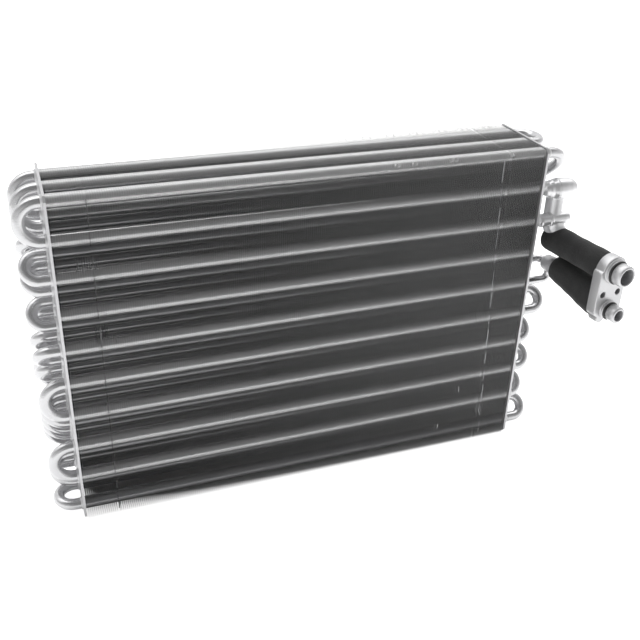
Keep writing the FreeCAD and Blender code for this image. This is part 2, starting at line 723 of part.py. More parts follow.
def liquid_foam():
    """Build the foam wrap of the liquid pipe, thicker on top towards the flange.

    Both its ends keep their distance from the outlet pipe's wrap above.
    """
    body = new_body("liquid_foam_wrap", port_placement())
    radius = "Sizes.liquid_foam_od / 2"
    above = f"(Sizes.outlet_foam_od / 2 + {radius})"
    rise = f"(Sizes.stub_spacing - {above} - Sizes.wrap_gap_front)"
    level = f"-({above} + Sizes.wrap_gap_back + Sizes.foam_rise_end)"
    front = new_sketch(body, "XZ_Plane", "front",
                       offset="Sizes.pipe_length - Sizes.foam_gap")
    add_oval(front, radius, "-Sizes.stub_spacing", rise)
    back = new_sketch(body, "XZ_Plane", "back",
                      offset="Sizes.distributor_front + Sizes.foam_gap")
    add_oval(back, radius, level, "Sizes.foam_rise_end")
    loft = body.newObject("PartDesign::AdditiveLoft", "liquid_foam_wrap_form")
    loft.Profile = front
    loft.Sections = [back]
    loft.Ruled = True
    start = "(Sizes.foam_gap - Sizes.cut_overrun)"
    path = liquid_path(body, "path", start, "-Sizes.cut_overrun")
    hole = new_sketch(body, "XZ_Plane", "hole", offset=f"Sizes.pipe_length - {start}")
    inner = rounded("(Sizes.liquid_od / 2 + Sizes.foam_clearance)", PIPE_SIDES)
    add_polygon(hole, "hole", inner, PIPE_SIDES, up="-Sizes.stub_spacing")
    add_sweep(body, hole, path, "hole_cut", cut=True)


FLANGE_FACE = "(Sizes.pipe_length + Sizes.flange_thickness)"
GROOVE_WIDTH = "(Sizes.ring_section + 2 * Sizes.ring_side_gap)"
GROOVE_START = f"({FLANGE_FACE} + Sizes.ring_place - {GROOVE_WIDTH} / 2)"
GROOVE_END = f"({FLANGE_FACE} + Sizes.ring_place + {GROOVE_WIDTH} / 2)"


def ring_bore(stub_od):
    """Return the inner radius of a ring that stands proud of its stub."""
    return f"({stub_od} / 2 + Sizes.ring_proud - Sizes.ring_section)"


def add_section(body, name, start, radius, up):
    """Draw a round section with flat sides across the stubs, some way along them."""
    sketch = new_sketch(body, "XZ_Plane", name, offset=start)
    add_polygon(sketch, "round", rounded(radius, STUB_SIDES), STUB_SIDES, up=up)
    return sketch


def add_loft(body, sections, name):
    """Join sections with straight flats."""
    loft = body.newObject("PartDesign::AdditiveLoft", f"{body.Name}_{name}")
    loft.Profile = sections[0]
    loft.Sections = sections[1:]
    loft.Ruled = True


def add_stub(body, name, up, stub_od):
    """Build a stub with a ring groove and a bevelled mouth on the flange's face."""
    radius = f"({stub_od} / 2)"
    floor = f"({ring_bore(stub_od)} - Sizes.seat_clearance)"
    bevel = f"({FLANGE_FACE} + Sizes.stub_length - Sizes.stub_lead)"
    mouth = f"({FLANGE_FACE} + Sizes.stub_length)"
    for step, start, end, size in (("root", FLANGE_FACE, GROOVE_START, radius),
                                   ("groove", GROOVE_START, GROOVE_END, floor),
                                   ("nose", GROOVE_END, bevel, radius)):
        sketch = add_section(body, f"{name}_{step}", start, size, up)
        add_pad(body, sketch, f"{end} - {start}", f"{name}_{step}_pad")
    sections = [add_section(body, f"{name}_bevel", bevel, radius, up),
                add_section(body, f"{name}_mouth", mouth, f"({radius} - Sizes.stub_lead)", up)]
    add_loft(body, sections, f"{name}_lead")


def connection_flange():
    """Build the flange: plate, lobe, lug, two ribbed stubs, bores and screw holes."""
    body = new_body("connection_flange", port_placement())
    face = FLANGE_FACE
    half = "Sizes.flange_half_width"
    low = "-(Sizes.stub_spacing + Sizes.flange_foot)"
    plate = new_sketch(body, "XZ_Plane", "plate", offset="Sizes.pipe_length")
    add_rectangle(plate, "plate", f"-{half}", low, half, "Sizes.flange_shoulder")
    plate_pad = add_pad(body, plate, "Sizes.flange_thickness", "plate_pad")
    along = Vector(0, 1, 0)
    feet = level_edges(plate_pad, along, lambda middle: middle.z < -1)
    filleted = add_dressing("Fillet", body, plate_pad, feet, "Sizes.flange_corner", "feet")
    shoulders = level_edges(filleted, along, lambda middle: middle.z > 0)
    add_dressing("Chamfer", body, filleted, shoulders, "Sizes.shoulder_cut", "shoulders")
    lobe = add_section(body, "lobe", "Sizes.pipe_length", "Sizes.lobe_radius", "0")
    add_pad(body, lobe, "Sizes.flange_thickness", "lobe_pad")
    lug = new_sketch(body, "XZ_Plane", "lug", offset="Sizes.pipe_length")
    add_polygon(lug, "lug", rounded("Sizes.lug_radius", PIPE_SIDES), PIPE_SIDES,
                "-Sizes.lug_offset", f"{low} - Sizes.lug_drop")
    add_pad(body, lug, "Sizes.lug_thickness", "lug_pad")
    collar = add_section(body, "collar", face, "Sizes.collar_od / 2", "0")
    add_pad(body, collar, "Sizes.collar_length", "collar_pad")
    add_stub(body, "outlet_stub", "0", "Sizes.outlet_stub_od")
    add_stub(body, "liquid_stub", "-Sizes.stub_spacing", "Sizes.liquid_stub_od")
    mouth = f"{face} + Sizes.stub_length"
    bores = add_section(body, "bores", mouth, "Sizes.outlet_bore / 2", "0")
    add_polygon(bores, "liquid", rounded("Sizes.liquid_bore / 2", STUB_SIDES), STUB_SIDES,
                up="-Sizes.stub_spacing")
    add_pocket(body, bores, "bores_cut")
    screws = new_sketch(body, "XZ_Plane", "screws", offset=face)
    for name, sign in (("left", "-"), ("right", "")):
        add_circle(screws, name, "Sizes.screw_hole / 2", f"{sign}Sizes.screw_spacing / 2",
                   "-Sizes.screw_drop")
    add_pocket(body, screws, "screw_holes")


def ring(label, up, stub_od):
    """Build a sealing ring with a crowned outside that sits in its stub's groove."""
    body = new_body(label, port_placement())
    middle = f"({FLANGE_FACE} + Sizes.ring_place)"
    crown = f"({stub_od} / 2 + Sizes.ring_proud)"
    edge = f"({crown} - Sizes.ring_crown)"
    sections = [add_section(body, "front", f"{middle} + Sizes.ring_section / 2", edge, up),
                add_section(body, "middle", middle, crown, up),
                add_section(body, "back", f"{middle} - Sizes.ring_section / 2", edge, up)]
    add_loft(body, sections, "form")
    hole = add_section(body, "hole", f"{middle} + Sizes.ring_section / 2",
                       ring_bore(stub_od), up)
    add_pocket(body, hole, "hole_cut")


for make in (hairpins, return_bends, fin_pack, outlet_pipe, outlet_foam, liquid_pipe,
             distributor, feed_tubes, liquid_foam, connection_flange):
    make()
end_plate("left_end_plate", "-Sizes.core_width / 2")
end_plate("right_end_plate", "Sizes.core_width / 2 - Sizes.plate_thickness")
outlet_tube("upper_outlet_tube", OUTLET_TUBES[0])
outlet_tube("lower_outlet_tube", OUTLET_TUBES[1])
ring("outlet_ring", "0", "Sizes.outlet_stub_od")
ring("liquid_ring", "-Sizes.stub_spacing", "Sizes.liquid_stub_od")
doc.recompute()

failed = [item.Name for item in doc.Objects if {"Invalid", "Error"} & set(item.State)]
if failed:
    raise RuntimeError(f"These objects failed: {failed}")
for part in parts:
    if part.Shape.isNull() or not part.Shape.isValid():
        raise RuntimeError(f"{part.Label} has no valid shape")
os.makedirs("parts", exist_ok=True)
for part in parts:
    part.Shape.exportStep(f"parts/{part.Label}.step")
    print(part.Label, len(part.Shape.Solids), "solids", round(part.Shape.Volume), "mm3")
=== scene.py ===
# %% [markdown]
# # An evaporator core
#
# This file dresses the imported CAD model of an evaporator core: a block of thin fins
# with rows of round tubes through it, U bends at both ends, and two foam-wrapped pipes
# that end in a flange. The CAD model is the fixed frame, and each new piece stands
# where one of its nodes is. Lengths are in metres, and the helper value MM turns the
# maker's millimetres into them.

# %% Load the CAD model
import math

import bpy
import numpy as np
from mathutils import Matrix, Vector


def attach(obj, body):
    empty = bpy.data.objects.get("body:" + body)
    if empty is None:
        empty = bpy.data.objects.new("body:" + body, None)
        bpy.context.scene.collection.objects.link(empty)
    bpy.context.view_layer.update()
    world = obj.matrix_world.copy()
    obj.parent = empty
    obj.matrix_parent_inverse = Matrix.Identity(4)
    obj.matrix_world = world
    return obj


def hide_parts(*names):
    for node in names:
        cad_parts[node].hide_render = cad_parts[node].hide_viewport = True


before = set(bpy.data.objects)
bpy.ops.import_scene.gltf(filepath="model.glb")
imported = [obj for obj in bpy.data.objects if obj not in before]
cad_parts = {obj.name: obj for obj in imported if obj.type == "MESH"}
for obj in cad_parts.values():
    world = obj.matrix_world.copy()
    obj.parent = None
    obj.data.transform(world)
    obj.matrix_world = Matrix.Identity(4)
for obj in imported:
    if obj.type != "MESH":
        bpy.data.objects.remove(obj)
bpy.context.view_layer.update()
MM = 0.001

# %% [markdown]
# ## The camera
#
# The photograph was taken from the left, a little above the core. A camera can be moved
# by eye until the picture agrees. A fit of the core's corners is surer, and gave the
# place, the direction and the focal length. A camera's own axes are right, up and
# backwards, and these directions are the columns of its rotation.

# %% Set up the camera
CAMERA_PLACE = Vector((-184.3, -523.8, 428.8)) * MM
LOOK = Vector((0.3107, 0.8144, -0.4902)).normalized()
RIGHT = Vector((0.9397, -0.3407, 0.0295)).normalized()
FOCAL_LENGTH_MM, SENSOR_WIDTH_MM = 49.0, 36.0

lens = bpy.data.cameras.new("studio_camera")
lens.lens = FOCAL_LENGTH_MM
lens.sensor_width = SENSOR_WIDTH_MM
camera = bpy.data.objects.new("studio_camera", lens)
up = RIGHT.cross(LOOK)
turn = Matrix((RIGHT, up, -LOOK)).transposed()
camera.matrix_world = Matrix.Translation(CAMERA_PLACE) @ turn.to_4x4()
bpy.context.scene.collection.objects.link(camera)
bpy.context.scene.camera = camera
print("camera at", tuple(round(v, 3) for v in camera.location))

# %% [markdown]
# ## Surfaces from arrays
#
# Blender's own primitives could stand in for some pieces. As one array of points, each
# size in a piece has a name and the formula stays in sight. A grid of rows and columns
# becomes a mesh when each of its cells is made a four-sided face.

# %% Turn arrays into meshes
def grid_faces(rows, columns, closed=True):
    """Number the faces of a grid: each joins a point, its right neighbour and the two above.

    With closed columns the last column's neighbour is the first one.
    """
    row = np.arange(rows - 1)[:, None]
    column = np.arange(columns if closed else columns - 1)[None, :]
    following = (column + 1) % columns
    corners = [row * columns + column, row * columns + following,
               (row + 1) * columns + following, (row + 1) * columns + column]
    return np.stack([np.broadcast_to(c, np.broadcast_shapes(row.shape, column.shape))
                     for c in corners], axis=-1).reshape(-1, 4)


def add_piece(name, points, faces, smooth=True):
    """Make a mesh object of an array of points and a list of faces."""
    mesh = bpy.data.meshes.new(name)
    mesh.from_pydata(np.asarray(points, float).reshape(-1, 3).tolist(), [],
                     [list(map(int, face)) for face in faces])
    mesh.polygons.foreach_set("use_smooth", np.full(len(mesh.polygons), smooth))
    mesh.update()
    piece = bpy.data.objects.new(name, mesh)
    bpy.context.scene.collection.objects.link(piece)
    return piece


def dress(piece, slot_name, material, *nodes):
    """Let a piece ride on the core, stand for its nodes and take its finish."""
    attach(piece, "root")
    if nodes:
        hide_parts(*nodes)
    piece.data.materials.append(material)
    return piece


def build(name, shape, slot_name, material, *nodes, smooth=True):
    """Make a piece of (points, faces) and dress it."""
    return dress(add_piece(name, *shape, smooth=smooth), slot_name, material, *nodes)


def second_finish(piece, material, mask):
    """Give the faces picked by a mask another material, in the piece's next slot."""
    piece.data.materials.append(material)
    slots = np.empty(len(piece.data.polygons), np.int32)
    piece.data.polygons.foreach_get("material_index", slots)
    slots[np.asarray(mask).ravel()] = len(piece.data.materials) - 1
    piece.data.polygons.foreach_set("material_index", slots)


print("one closed 3 by 4 grid has", len(grid_faces(3, 4)), "faces")

# %% [markdown]
# ## A tube along a path
#
# Most of this object is bent tube. A curve with a bevel could draw it, but its radius is
# awkward to vary. So a ring of points is carried along the path. All paths here are
# flat, and one direction square to the path's plane keeps the rings from twisting.

# %% Carry a ring along a flat path
END_RING = 0.05 * MM


def with_end_rings(path, reach):
    """Add a ring just inside each end, so that a flat cap doesn't tilt the long side's shading."""
    for _ in range(2):
        step = min(END_RING / np.linalg.norm(path[1] - path[0]), 0.5)
        near = path[0] + (path[1] - path[0]) * step
        near_reach = reach[0] + (reach[1] - reach[0]) * step
        path = np.concatenate([path[:1], near[None], path[1:]])[::-1]
        reach = np.concatenate([reach[:1], [near_reach], reach[1:]])[::-1]
    return path, reach


def carry_ring(path, radius, normal, sides=24, caps=True):
    """Place a ring of points round each point of a flat path.

    Point j of ring i is path_i + radius_i * (cos(a_j) * side_i + sin(a_j) * normal),
    where side_i is normal x tangent_i and a_j is j full turns over the number of sides.
    """
    path = np.asarray(path, float)
    reach = np.broadcast_to(radius, (len(path),)).astype(float)
    if caps:
        path, reach = with_end_rings(path, reach)
    normal = np.asarray(normal, float) / np.linalg.norm(normal)
    tangent = np.gradient(path, axis=0)
    tangent /= np.linalg.norm(tangent, axis=1)[:, None]
    side = np.cross(normal, tangent)
    angle = np.linspace(0, 2 * np.pi, sides, endpoint=False)
    ring = np.cos(angle)[:, None] * side[:, None, :] + np.sin(angle)[:, None] * normal
    points = path[:, None, :] + reach[:, None, None] * ring
    faces = grid_faces(len(path), sides).tolist()
    if caps:
        last = (len(path) - 1) * sides
        faces += [list(range(sides))[::-1], list(range(last, last + sides))]
    return points.reshape(-1, 3), faces


def join_parts(parts):
    """Put several (points, faces) parts into one, with their face numbers moved on."""
    starts = np.cumsum([0] + [len(part[0]) for part in parts])
    faces = [[index + start for index in face]
             for start, part in zip(starts, parts) for face in part[1]]
    return np.concatenate([part[0] for part in parts]), faces


print("a straight tube has", len(carry_ring([(0, 0, 0), (0, 0, 1)], 0.5, (1, 0, 0))[1]), "faces")

# %% [markdown]
# ## Where the tubes run
#
# Five columns of tubes run through the block, their levels an inch apart. The second and
# fourth columns sit half a level lower, so that the air meets a tube wherever it flows.
# Two pitches say all of that, so a tube is named by its column and level instead of its
# place. Each pair below is one hairpin.

# %% Give every tube its seat
CORE = np.array([338.0, 66.0, 241.3]) * MM
PLATE = 1.6 * MM
TUBE_RADIUS = 4.0 * MM
TUBE_PITCH = 25.4 * MM
ROW_PITCH = 11.0 * MM
FIRST_ROW = 11.0 * MM
FIRST_LEVEL = 6.35 * MM
RIGHT_FACE = CORE[0] / 2

HAIRPINS = (
    ((0, 0), (0, 1)), ((2, 0), (2, 1)), ((4, 0), (4, 1)), ((0, 2), (1, 1.5)),
    ((2, 2), (1, 2.5)), ((4, 2), (3, 1.5)), ((2, 3), (1, 3.5)), ((4, 3), (3, 2.5)),
    ((4, 4), (3, 3.5)), ((2, 4), (3, 4.5)), ((0, 4), (1, 4.5)), ((2, 5), (3, 5.5)),
    ((4, 5), (4, 6)), ((0, 5), (0, 6)), ((1, 5.5), (1, 6.5)), ((2, 6), (2, 7)),
    ((0, 7), (0, 8)), ((1, 7.5), (1, 8.5)), ((4, 7), (4, 8)), ((2, 8), (3, 8.5)),
    ((3, 6.5), (3, 7.5)), ((0, 9), (2, 9)),
)


def seat(tube):
    """Return (0, y, z) of a tube: rows count back from the front, levels down from the top."""
    column, level = tube
    return np.array([0.0, FIRST_ROW + column * ROW_PITCH - CORE[1] / 2,
                     CORE[2] - FIRST_LEVEL - level * TUBE_PITCH])


def on_axis(place, x):
    """Return points at every x given, with the y and z of one place."""
    points = np.repeat(place[None, :], len(x), axis=0)
    points[:, 0] = x
    return points


SEATS = np.array([seat(tube) for pair in HAIRPINS for tube in pair])
print("tubes through the block:", len(SEATS))

# %% [markdown]
# ## Finishes
#
# Nearly everything is bare aluminium, but no two pieces are finished alike: drawn tubes,
# bright foil, duller sheet, a machined flange. Their node trees could be drawn one by
# one. The same few nodes come back in all of them, so helpers wire them up.

# %% Write helpers that wire nodes
NOISE_DETAIL, NOISE_ROUGHNESS = 4.0, 0.6


def feed(tree, node, inputs):
    """Link an input to another node's output, or set it to a plain number or colour."""
    for name, source in inputs.items():
        if isinstance(source, bpy.types.NodeSocket):
            tree.links.new(source, node.inputs[name])
        else:
            node.inputs[name].default_value = source


def add_node(tree, kind, inputs, **settings):
    """Add a shader node, link or set each named input, and return the node's outputs."""
    node = tree.nodes.new("ShaderNode" + kind)
    for name, value in settings.items():
        setattr(node, name, value)
    feed(tree, node, inputs)
    return node.outputs


def math_node(tree, operation, *sources):
    """Add a Math node for sockets or plain numbers."""
    return add_node(tree, "Math", dict(enumerate(sources)), operation=operation)[0]


def noise_node(tree, place, scale):
    """Add a cloudy noise, which wanders round 0.5, scale times over each metre."""
    return add_node(tree, "TexNoise", {"Vector": place, "Scale": scale, "Detail": NOISE_DETAIL,
                                       "Roughness": NOISE_ROUGHNESS})[0]


def ramp(tree, source, low, high, start=0.0, end=1.0):
    """Add a smooth ramp: start below low, end above high, and an S-curve between."""
    return add_node(tree, "MapRange", {"Value": source, "From Min": low, "From Max": high,
                                       "To Min": start, "To Max": end},
                    interpolation_type="SMOOTHSTEP")["Result"]


def mix_node(tree, factor, first, second, kind="RGBA", blend="MIX"):
    """Add a Mix node: the first where the factor is 0, the second where it is 1."""
    return add_node(tree, "Mix", {"Factor": factor, "A": first, "B": second},
                    data_type=kind, blend_type=blend)["Result"]


def place_node(tree, kind="Object"):
    """Add texture coordinates of one kind."""
    return add_node(tree, "TexCoord", {})[kind]


def split_node(tree, place):
    """Split a place into its x, y and z."""
    return add_node(tree, "SeparateXYZ", {0: place})


def new_material(name):
    """Return a new material with its node tree and its Principled shader."""
    material = bpy.data.materials.new(name)
    material.use_nodes = True
    return material, material.node_tree, material.node_tree.nodes["Principled BSDF"]


print("noise detail:", NOISE_DETAIL, "roughness:", NOISE_ROUGHNESS)

# %% [markdown]
# Drawn metal has fine lines and faint stains. An image of them would have to be wrapped
# round every bend, and noise needs no wrapping. The lines are noise squeezed along x, the
# clouds are noise left round. One node group makes both, each metal sets its own
# amounts, and the Principled shader stays in the material.

# %% Build the shared metal grain
def new_group(name, inputs, outputs):
    """Make a node group with named number inputs and outputs."""
    group = bpy.data.node_groups.new(name, "ShaderNodeTree")
    for label, number in inputs.items():
        socket = group.interface.new_socket(label, in_out="INPUT", socket_type="NodeSocketFloat")
        socket.default_value = number
    for label in outputs:
        group.interface.new_socket(label, in_out="OUTPUT", socket_type="NodeSocketFloat")
    return group, group.nodes.new("NodeGroupInput").outputs, group.nodes.new("NodeGroupOutput")


def build_grain():
    """Lines = noise(place * (stretch, 1, 1)) and clouds = amount * (noise(place) - 0.5)."""
    group, given, result = new_group(
        "metal_grain", {"Line Scale": 900.0, "Stretch": 0.02, "Cloud Scale": 40.0,
                        "Cloud Amount": 0.3}, ("Lines", "Clouds"))
    place = place_node(group)
    squeeze = add_node(group, "CombineXYZ", {"X": given["Stretch"], "Y": 1.0, "Z": 1.0})[0]
    squeezed = add_node(group, "VectorMath", {0: place, 1: squeeze}, operation="MULTIPLY")[0]
    centred = math_node(group, "SUBTRACT", noise_node(group, place, given["Cloud Scale"]), 0.5)
    feed(group, result, {
        "Lines": noise_node(group, squeezed, given["Line Scale"]),
        "Clouds": math_node(group, "MULTIPLY", centred, given["Cloud Amount"])})
    return group


grain = build_grain()
print("metal_grain has", len(grain.nodes), "nodes")

# %% [markdown]
# Metal in one colour and one roughness looks like paint. So the clouds swing both, and
# the lines lift the surface. Only drawn tubes stretch their lines along x. Bareness is how
# much shines as bare metal: the rest is dull oxide, which fills the darkest reflections.

# %% Make an aluminium from the grain
DARK_SHARE = 0.8
LINE_STRENGTH = 0.6
DRAWN_STRETCH = 0.02


def aluminium(name, colour, roughness, line_scale=900.0, stretch=1.0, cloud_scale=40.0,
              cloud_amount=0.3, bump=0.0001, bareness=0.8):
    """Mix a metal: colour = mix(dark, own, clouds + 0.5), roughness = own + clouds / 2."""
    material, tree, shader = new_material(name)
    node = tree.nodes.new("ShaderNodeGroup")
    node.node_tree = grain
    feed(tree, node, {"Line Scale": line_scale, "Stretch": stretch,
                      "Cloud Scale": cloud_scale, "Cloud Amount": cloud_amount})
    clouds = node.outputs["Clouds"]
    dark = (*[c * DARK_SHARE for c in colour], 1.0)
    lift = add_node(tree, "Bump", {"Height": node.outputs["Lines"], "Distance": bump,
                                   "Strength": LINE_STRENGTH})
    feed(tree, shader, {
        "Metallic": bareness, "Normal": lift["Normal"],
        "Base Color": mix_node(tree, math_node(tree, "ADD", clouds, 0.5), dark, (*colour, 1.0)),
        "Roughness": math_node(tree, "ADD", math_node(tree, "MULTIPLY", clouds, 0.5),
                               roughness)})
    return material


TUBE_METAL = aluminium("drawn_tube_aluminium", (0.64, 0.64, 0.65), 0.25, stretch=DRAWN_STRETCH,
                       bareness=0.9)
PIPE_METAL = aluminium("bright_pipe_aluminium", (0.86, 0.86, 0.87), 0.3, stretch=DRAWN_STRETCH,
                       bareness=0.78)
FIN_METAL = aluminium("fin_foil_aluminium", (0.985, 0.985, 0.985), 0.05, line_scale=300.0,
                      cloud_amount=0.05, bump=0.000002, bareness=0.93)
RIM_METAL = aluminium("fin_edge_aluminium", (0.62, 0.62, 0.625), 0.45, line_scale=300.0,
                      cloud_scale=300.0, cloud_amount=0.8, bump=0.00001)
SLEEVE_METAL = aluminium("fin_collar_aluminium", (0.97, 0.97, 0.975), 0.24, line_scale=600.0,
                         cloud_amount=0.1, bump=0.00001, bareness=0.65)
INNER_METAL = aluminium("inner_collar_aluminium", (0.32, 0.32, 0.33), 0.3, line_scale=600.0,
                        cloud_amount=0.1, bump=0.00001)
PLATE_METAL = aluminium("plate_sheet_aluminium", (0.62, 0.62, 0.63), 0.34, cloud_scale=60.0,
                        cloud_amount=0.4, bareness=0.65)
FLANGE_METAL = aluminium("machined_flange_aluminium", (0.68, 0.68, 0.69), 0.38,
                         line_scale=1500.0, cloud_scale=90.0, bareness=0.6)
BRAZE_METAL = aluminium("braze_aluminium", (0.8, 0.8, 0.8), 0.42, line_scale=700.0,
                        cloud_scale=250.0, cloud_amount=0.8, bump=0.0002, bareness=0.6)
# The bore metal's dark colour is painted shade inside the holes.
BORE_METAL = aluminium("stub_bore_aluminium", (0.36, 0.36, 0.37), 0.6, cloud_scale=200.0,
                       bareness=0.5)
FOLD_METAL = aluminium("folded_foil_aluminium", (0.42, 0.42, 0.425), 0.5, line_scale=300.0,
                       cloud_scale=300.0, bareness=0.6)
SHADED_METAL = aluminium("shaded_foil_aluminium", (0.1, 0.1, 0.102), 0.5, bareness=0.6)
TOP_METAL = aluminium("top_collar_aluminium", (0.97, 0.97, 0.975), 0.42, bareness=0.5)
print("metals:", [m.name for m in bpy.data.materials if "aluminium" in m.name])

# %% [markdown]
# The foil takes painted shade towards the left end, where less light falls on the core.
# Painting that would need an image, so a smooth ramp along x multiplies the colour instead.

# %% Paint shade on the foil towards the left end
SHADE_FROM, SHADE_TO = -0.2, 0.14


def shade_the_left(material, share):
    """Multiply a metal's colour by a ramp along x, as painted shade: the share at the left end, 1
    at the right.
    """
    tree = material.node_tree
    shader = tree.nodes["Principled BSDF"]
    colour = shader.inputs["Base Color"].links[0].from_socket
    x = split_node(tree, place_node(tree))["X"]
    painted_shade = ramp(tree, x, SHADE_FROM, SHADE_TO, share, 1.0)
    feed(tree, shader, {"Base Color": mix_node(tree, 1.0, colour, painted_shade, blend="MULTIPLY")})


# The collars, top collars and fin edges take the painted shade at the left end.
for metal, share in ((SLEEVE_METAL, 0.62), (TOP_METAL, 0.72), (RIM_METAL, 0.6)):
    shade_the_left(metal, share)
print("dulled: collars, top collars and fin edges")

# %% [markdown]
# Black foam is never one flat black: its cells scatter light, and dust greys its raised
# grain. Plain noise would look like cloth. Voronoi cells are round and packed as foam
# is, so they choose between two greys and lift the surface.

# %% Make the foam and the rubber
SOFT_SHEEN = 0.12
CELLS_PER_PATCH = 12


def soft_black(name, low, high, roughness, cell_scale, bump):
    """Mix two greys by 2 * cells * patches, where the cells also lift the surface."""
    material, tree, shader = new_material(name)
    place = place_node(tree)
    cells = add_node(tree, "TexVoronoi", {"Vector": place, "Scale": cell_scale})["Distance"]
    patches = noise_node(tree, place, cell_scale / CELLS_PER_PATCH)
    share = math_node(tree, "MULTIPLY", math_node(tree, "MULTIPLY", cells, patches), 2.0)
    feed(tree, shader, {
        "Roughness": roughness, "Sheen Weight": SOFT_SHEEN,
        "Base Color": mix_node(tree, share, (low, low, low, 1.0), (high, high, high, 1.0)),
        "Normal": add_node(tree, "Bump", {"Height": cells, "Distance": bump})["Normal"]})
    return material


FOAM = soft_black("foam_wrap_black", 0.006, 0.03, 0.85, 1400.0, 0.0002)
RUBBER = soft_black("ring_rubber_black", 0.004, 0.012, 0.35, 3000.0, 0.00002)
print("soft finishes:", FOAM.name, RUBBER.name)

# %% [markdown]
# ## The hairpin tubes
#
# Each hairpin is one long tube bent double at the left end of the core. At the right its
# two ends are opened a little, so that a return bend fits inside. A half torus and two
# cylinders would leave seams. One carried ring has none, and its radius can grow.

# %% Bend the hairpins
LEG_OUT = 5.0 * MM
HAIRPIN_REACH = 19.3 * MM
ARC_STEPS = 20
FLARE, FLARE_LENGTH, FLARE_NECK = 0.35 * MM, 3.2 * MM, 4.0 * MM


def half_turn(first, second, start, outward, run):
    """Return the path of a leg out, a half circle and a leg back, and its normal.

    The half circle is centre + R * (cos(t) * u + sin(t) * outward), with t from 0 to
    pi, R half the distance between the seats and u the direction between them.
    """
    ends = seat(first), seat(second)
    away = ends[0] - ends[1]
    radius = np.linalg.norm(away) / 2
    along = np.array([outward, 0.0, 0.0])
    turn_angle = np.linspace(0, np.pi, ARC_STEPS + 1)[:, None]
    middle = (ends[0] + ends[1]) / 2 + np.array([start, 0, 0]) + along * run
    arc = middle + radius * (np.cos(turn_angle) * away / (2 * radius)
                             + np.sin(turn_angle) * along)
    return arc, np.cross(along, away)


def hairpin(first, second):
    """Return two flared legs and the half circle between them, as one carried ring.

    The circle's centre stands reach - R - tube radius past the core's left side. From
    the open end, the radius is opened by FLARE to FLARE_LENGTH, then narrows to the
    tube's own at FLARE_NECK.
    """
    start = RIGHT_FACE + LEG_OUT
    radius = np.linalg.norm(seat(first) - seat(second)) / 2
    run = CORE[0] + LEG_OUT + HAIRPIN_REACH - radius - TUBE_RADIUS
    arc, normal = half_turn(first, second, start, -1.0, run)
    flare_places = start - np.array([0.0, FLARE_LENGTH, FLARE_NECK])
    flare_radii = TUBE_RADIUS + np.array([FLARE, FLARE, 0.0])
    path = np.concatenate([on_axis(seat(first), flare_places), arc,
                           on_axis(seat(second), flare_places[::-1])])
    radii = np.concatenate([flare_radii, np.full(len(arc), TUBE_RADIUS), flare_radii[::-1]])
    return carry_ring(path, radii, normal)


for number, pair in enumerate(HAIRPINS, start=1):
    build(f"hairpin_tube_{number:02d}", hairpin(*pair), "tube", TUBE_METAL,
          f"hairpin_{number:02d}")
print("hairpins:", len(HAIRPINS), "with", len(hairpin(*pair)[0]), "points in the last")

# %% [markdown]
# ## The return bends
#
# At the right end a short U bend joins each pair of open ends, and braze melts into the
# step between them. A torus would sit there like a washer. The bead is a ring whose
# radius swells and sinks, so that it runs out into the tube.

# %% Shape a bead of braze
BRAZE_START, BRAZE_END = -0.9 * MM, 1.4 * MM
BRAZE_HEIGHT, BRAZE_FULLNESS, BRAZE_STEPS = FLARE + 0.25 * MM, 0.6, 6


def braze_ring(at, inner=TUBE_RADIUS, size=1.0):
    """Return a bead along x: radius = inner + size * height * sin(pi * t) ** fullness."""
    t = np.linspace(0, 1, BRAZE_STEPS)
    path = at + np.outer(BRAZE_START + t * (BRAZE_END - BRAZE_START), (1.0, 0.0, 0.0))
    radii = inner + size * BRAZE_HEIGHT * np.sin(np.pi * t) ** BRAZE_FULLNESS
    return carry_ring(path, radii, (0, 0, 1), sides=20)


print("a bead of braze stands", round(BRAZE_HEIGHT / MM, 2), "mm proud")

# %% [markdown]
# One bend could be copied and turned into place, but the widths and slants differ, so
# each is worked out from its two seats and its reach. It is a little thinner than the
# opened end that it sits in.

# %% Bend the returns and braze them
BEND_INSERT = 1.0 * MM
BEND_RADIUS = TUBE_RADIUS - 0.1 * MM
SHORT, MIDDLE, LONG = 15.0 * MM, 21.0 * MM, 26.0 * MM
RETURN_BENDS = (
    ((0, 0), (2, 1), MIDDLE), ((2, 0), (4, 0), MIDDLE), ((4, 1), (3, 1.5), SHORT),
    ((4, 2), (3, 2.5), SHORT), ((4, 3), (4, 4), MIDDLE), ((3, 3.5), (2, 4), SHORT),
    ((3, 4.5), (4, 5), SHORT), ((4, 6), (3, 5.5), SHORT), ((2, 5), (2, 6), MIDDLE),
    ((2, 7), (3, 6.5), SHORT), ((3, 7.5), (4, 7), SHORT), ((4, 8), (3, 8.5), SHORT),
    ((2, 8), (2, 9), MIDDLE), ((0, 9), (1, 8.5), LONG), ((1, 7.5), (0, 8), SHORT),
    ((0, 7), (1, 6.5), MIDDLE), ((1, 5.5), (0, 6), SHORT), ((0, 5), (1, 4.5), LONG),
    ((2, 3), (1, 2.5), SHORT), ((2, 2), (1, 1.5), SHORT),
)


def leg_end(tube, inset=0.0):
    """Return the middle of a tube's open end, or a point that far inside it."""
    return seat(tube) + np.array([RIGHT_FACE + LEG_OUT - inset, 0, 0])


def return_bend(first, second, reach):
    """Return a bend from seat to seat: two short legs and the half circle between.

    It stands out of the core's side by its reach, or further where its legs need that.
    The legs run reach - (leg out - insert) - R - tube radius.
    """
    start = RIGHT_FACE + LEG_OUT - BEND_INSERT
    radius = np.linalg.norm(seat(first) - seat(second)) / 2
    reach = max(reach, radius + TUBE_RADIUS + LEG_OUT + BEND_INSERT)
    run = reach - (LEG_OUT - BEND_INSERT) - radius - TUBE_RADIUS
    arc, normal = half_turn(first, second, start, 1.0, run)
    path = np.concatenate([[leg_end(first, BEND_INSERT)], arc, [leg_end(second, BEND_INSERT)]])
    return carry_ring(path, BEND_RADIUS, normal)


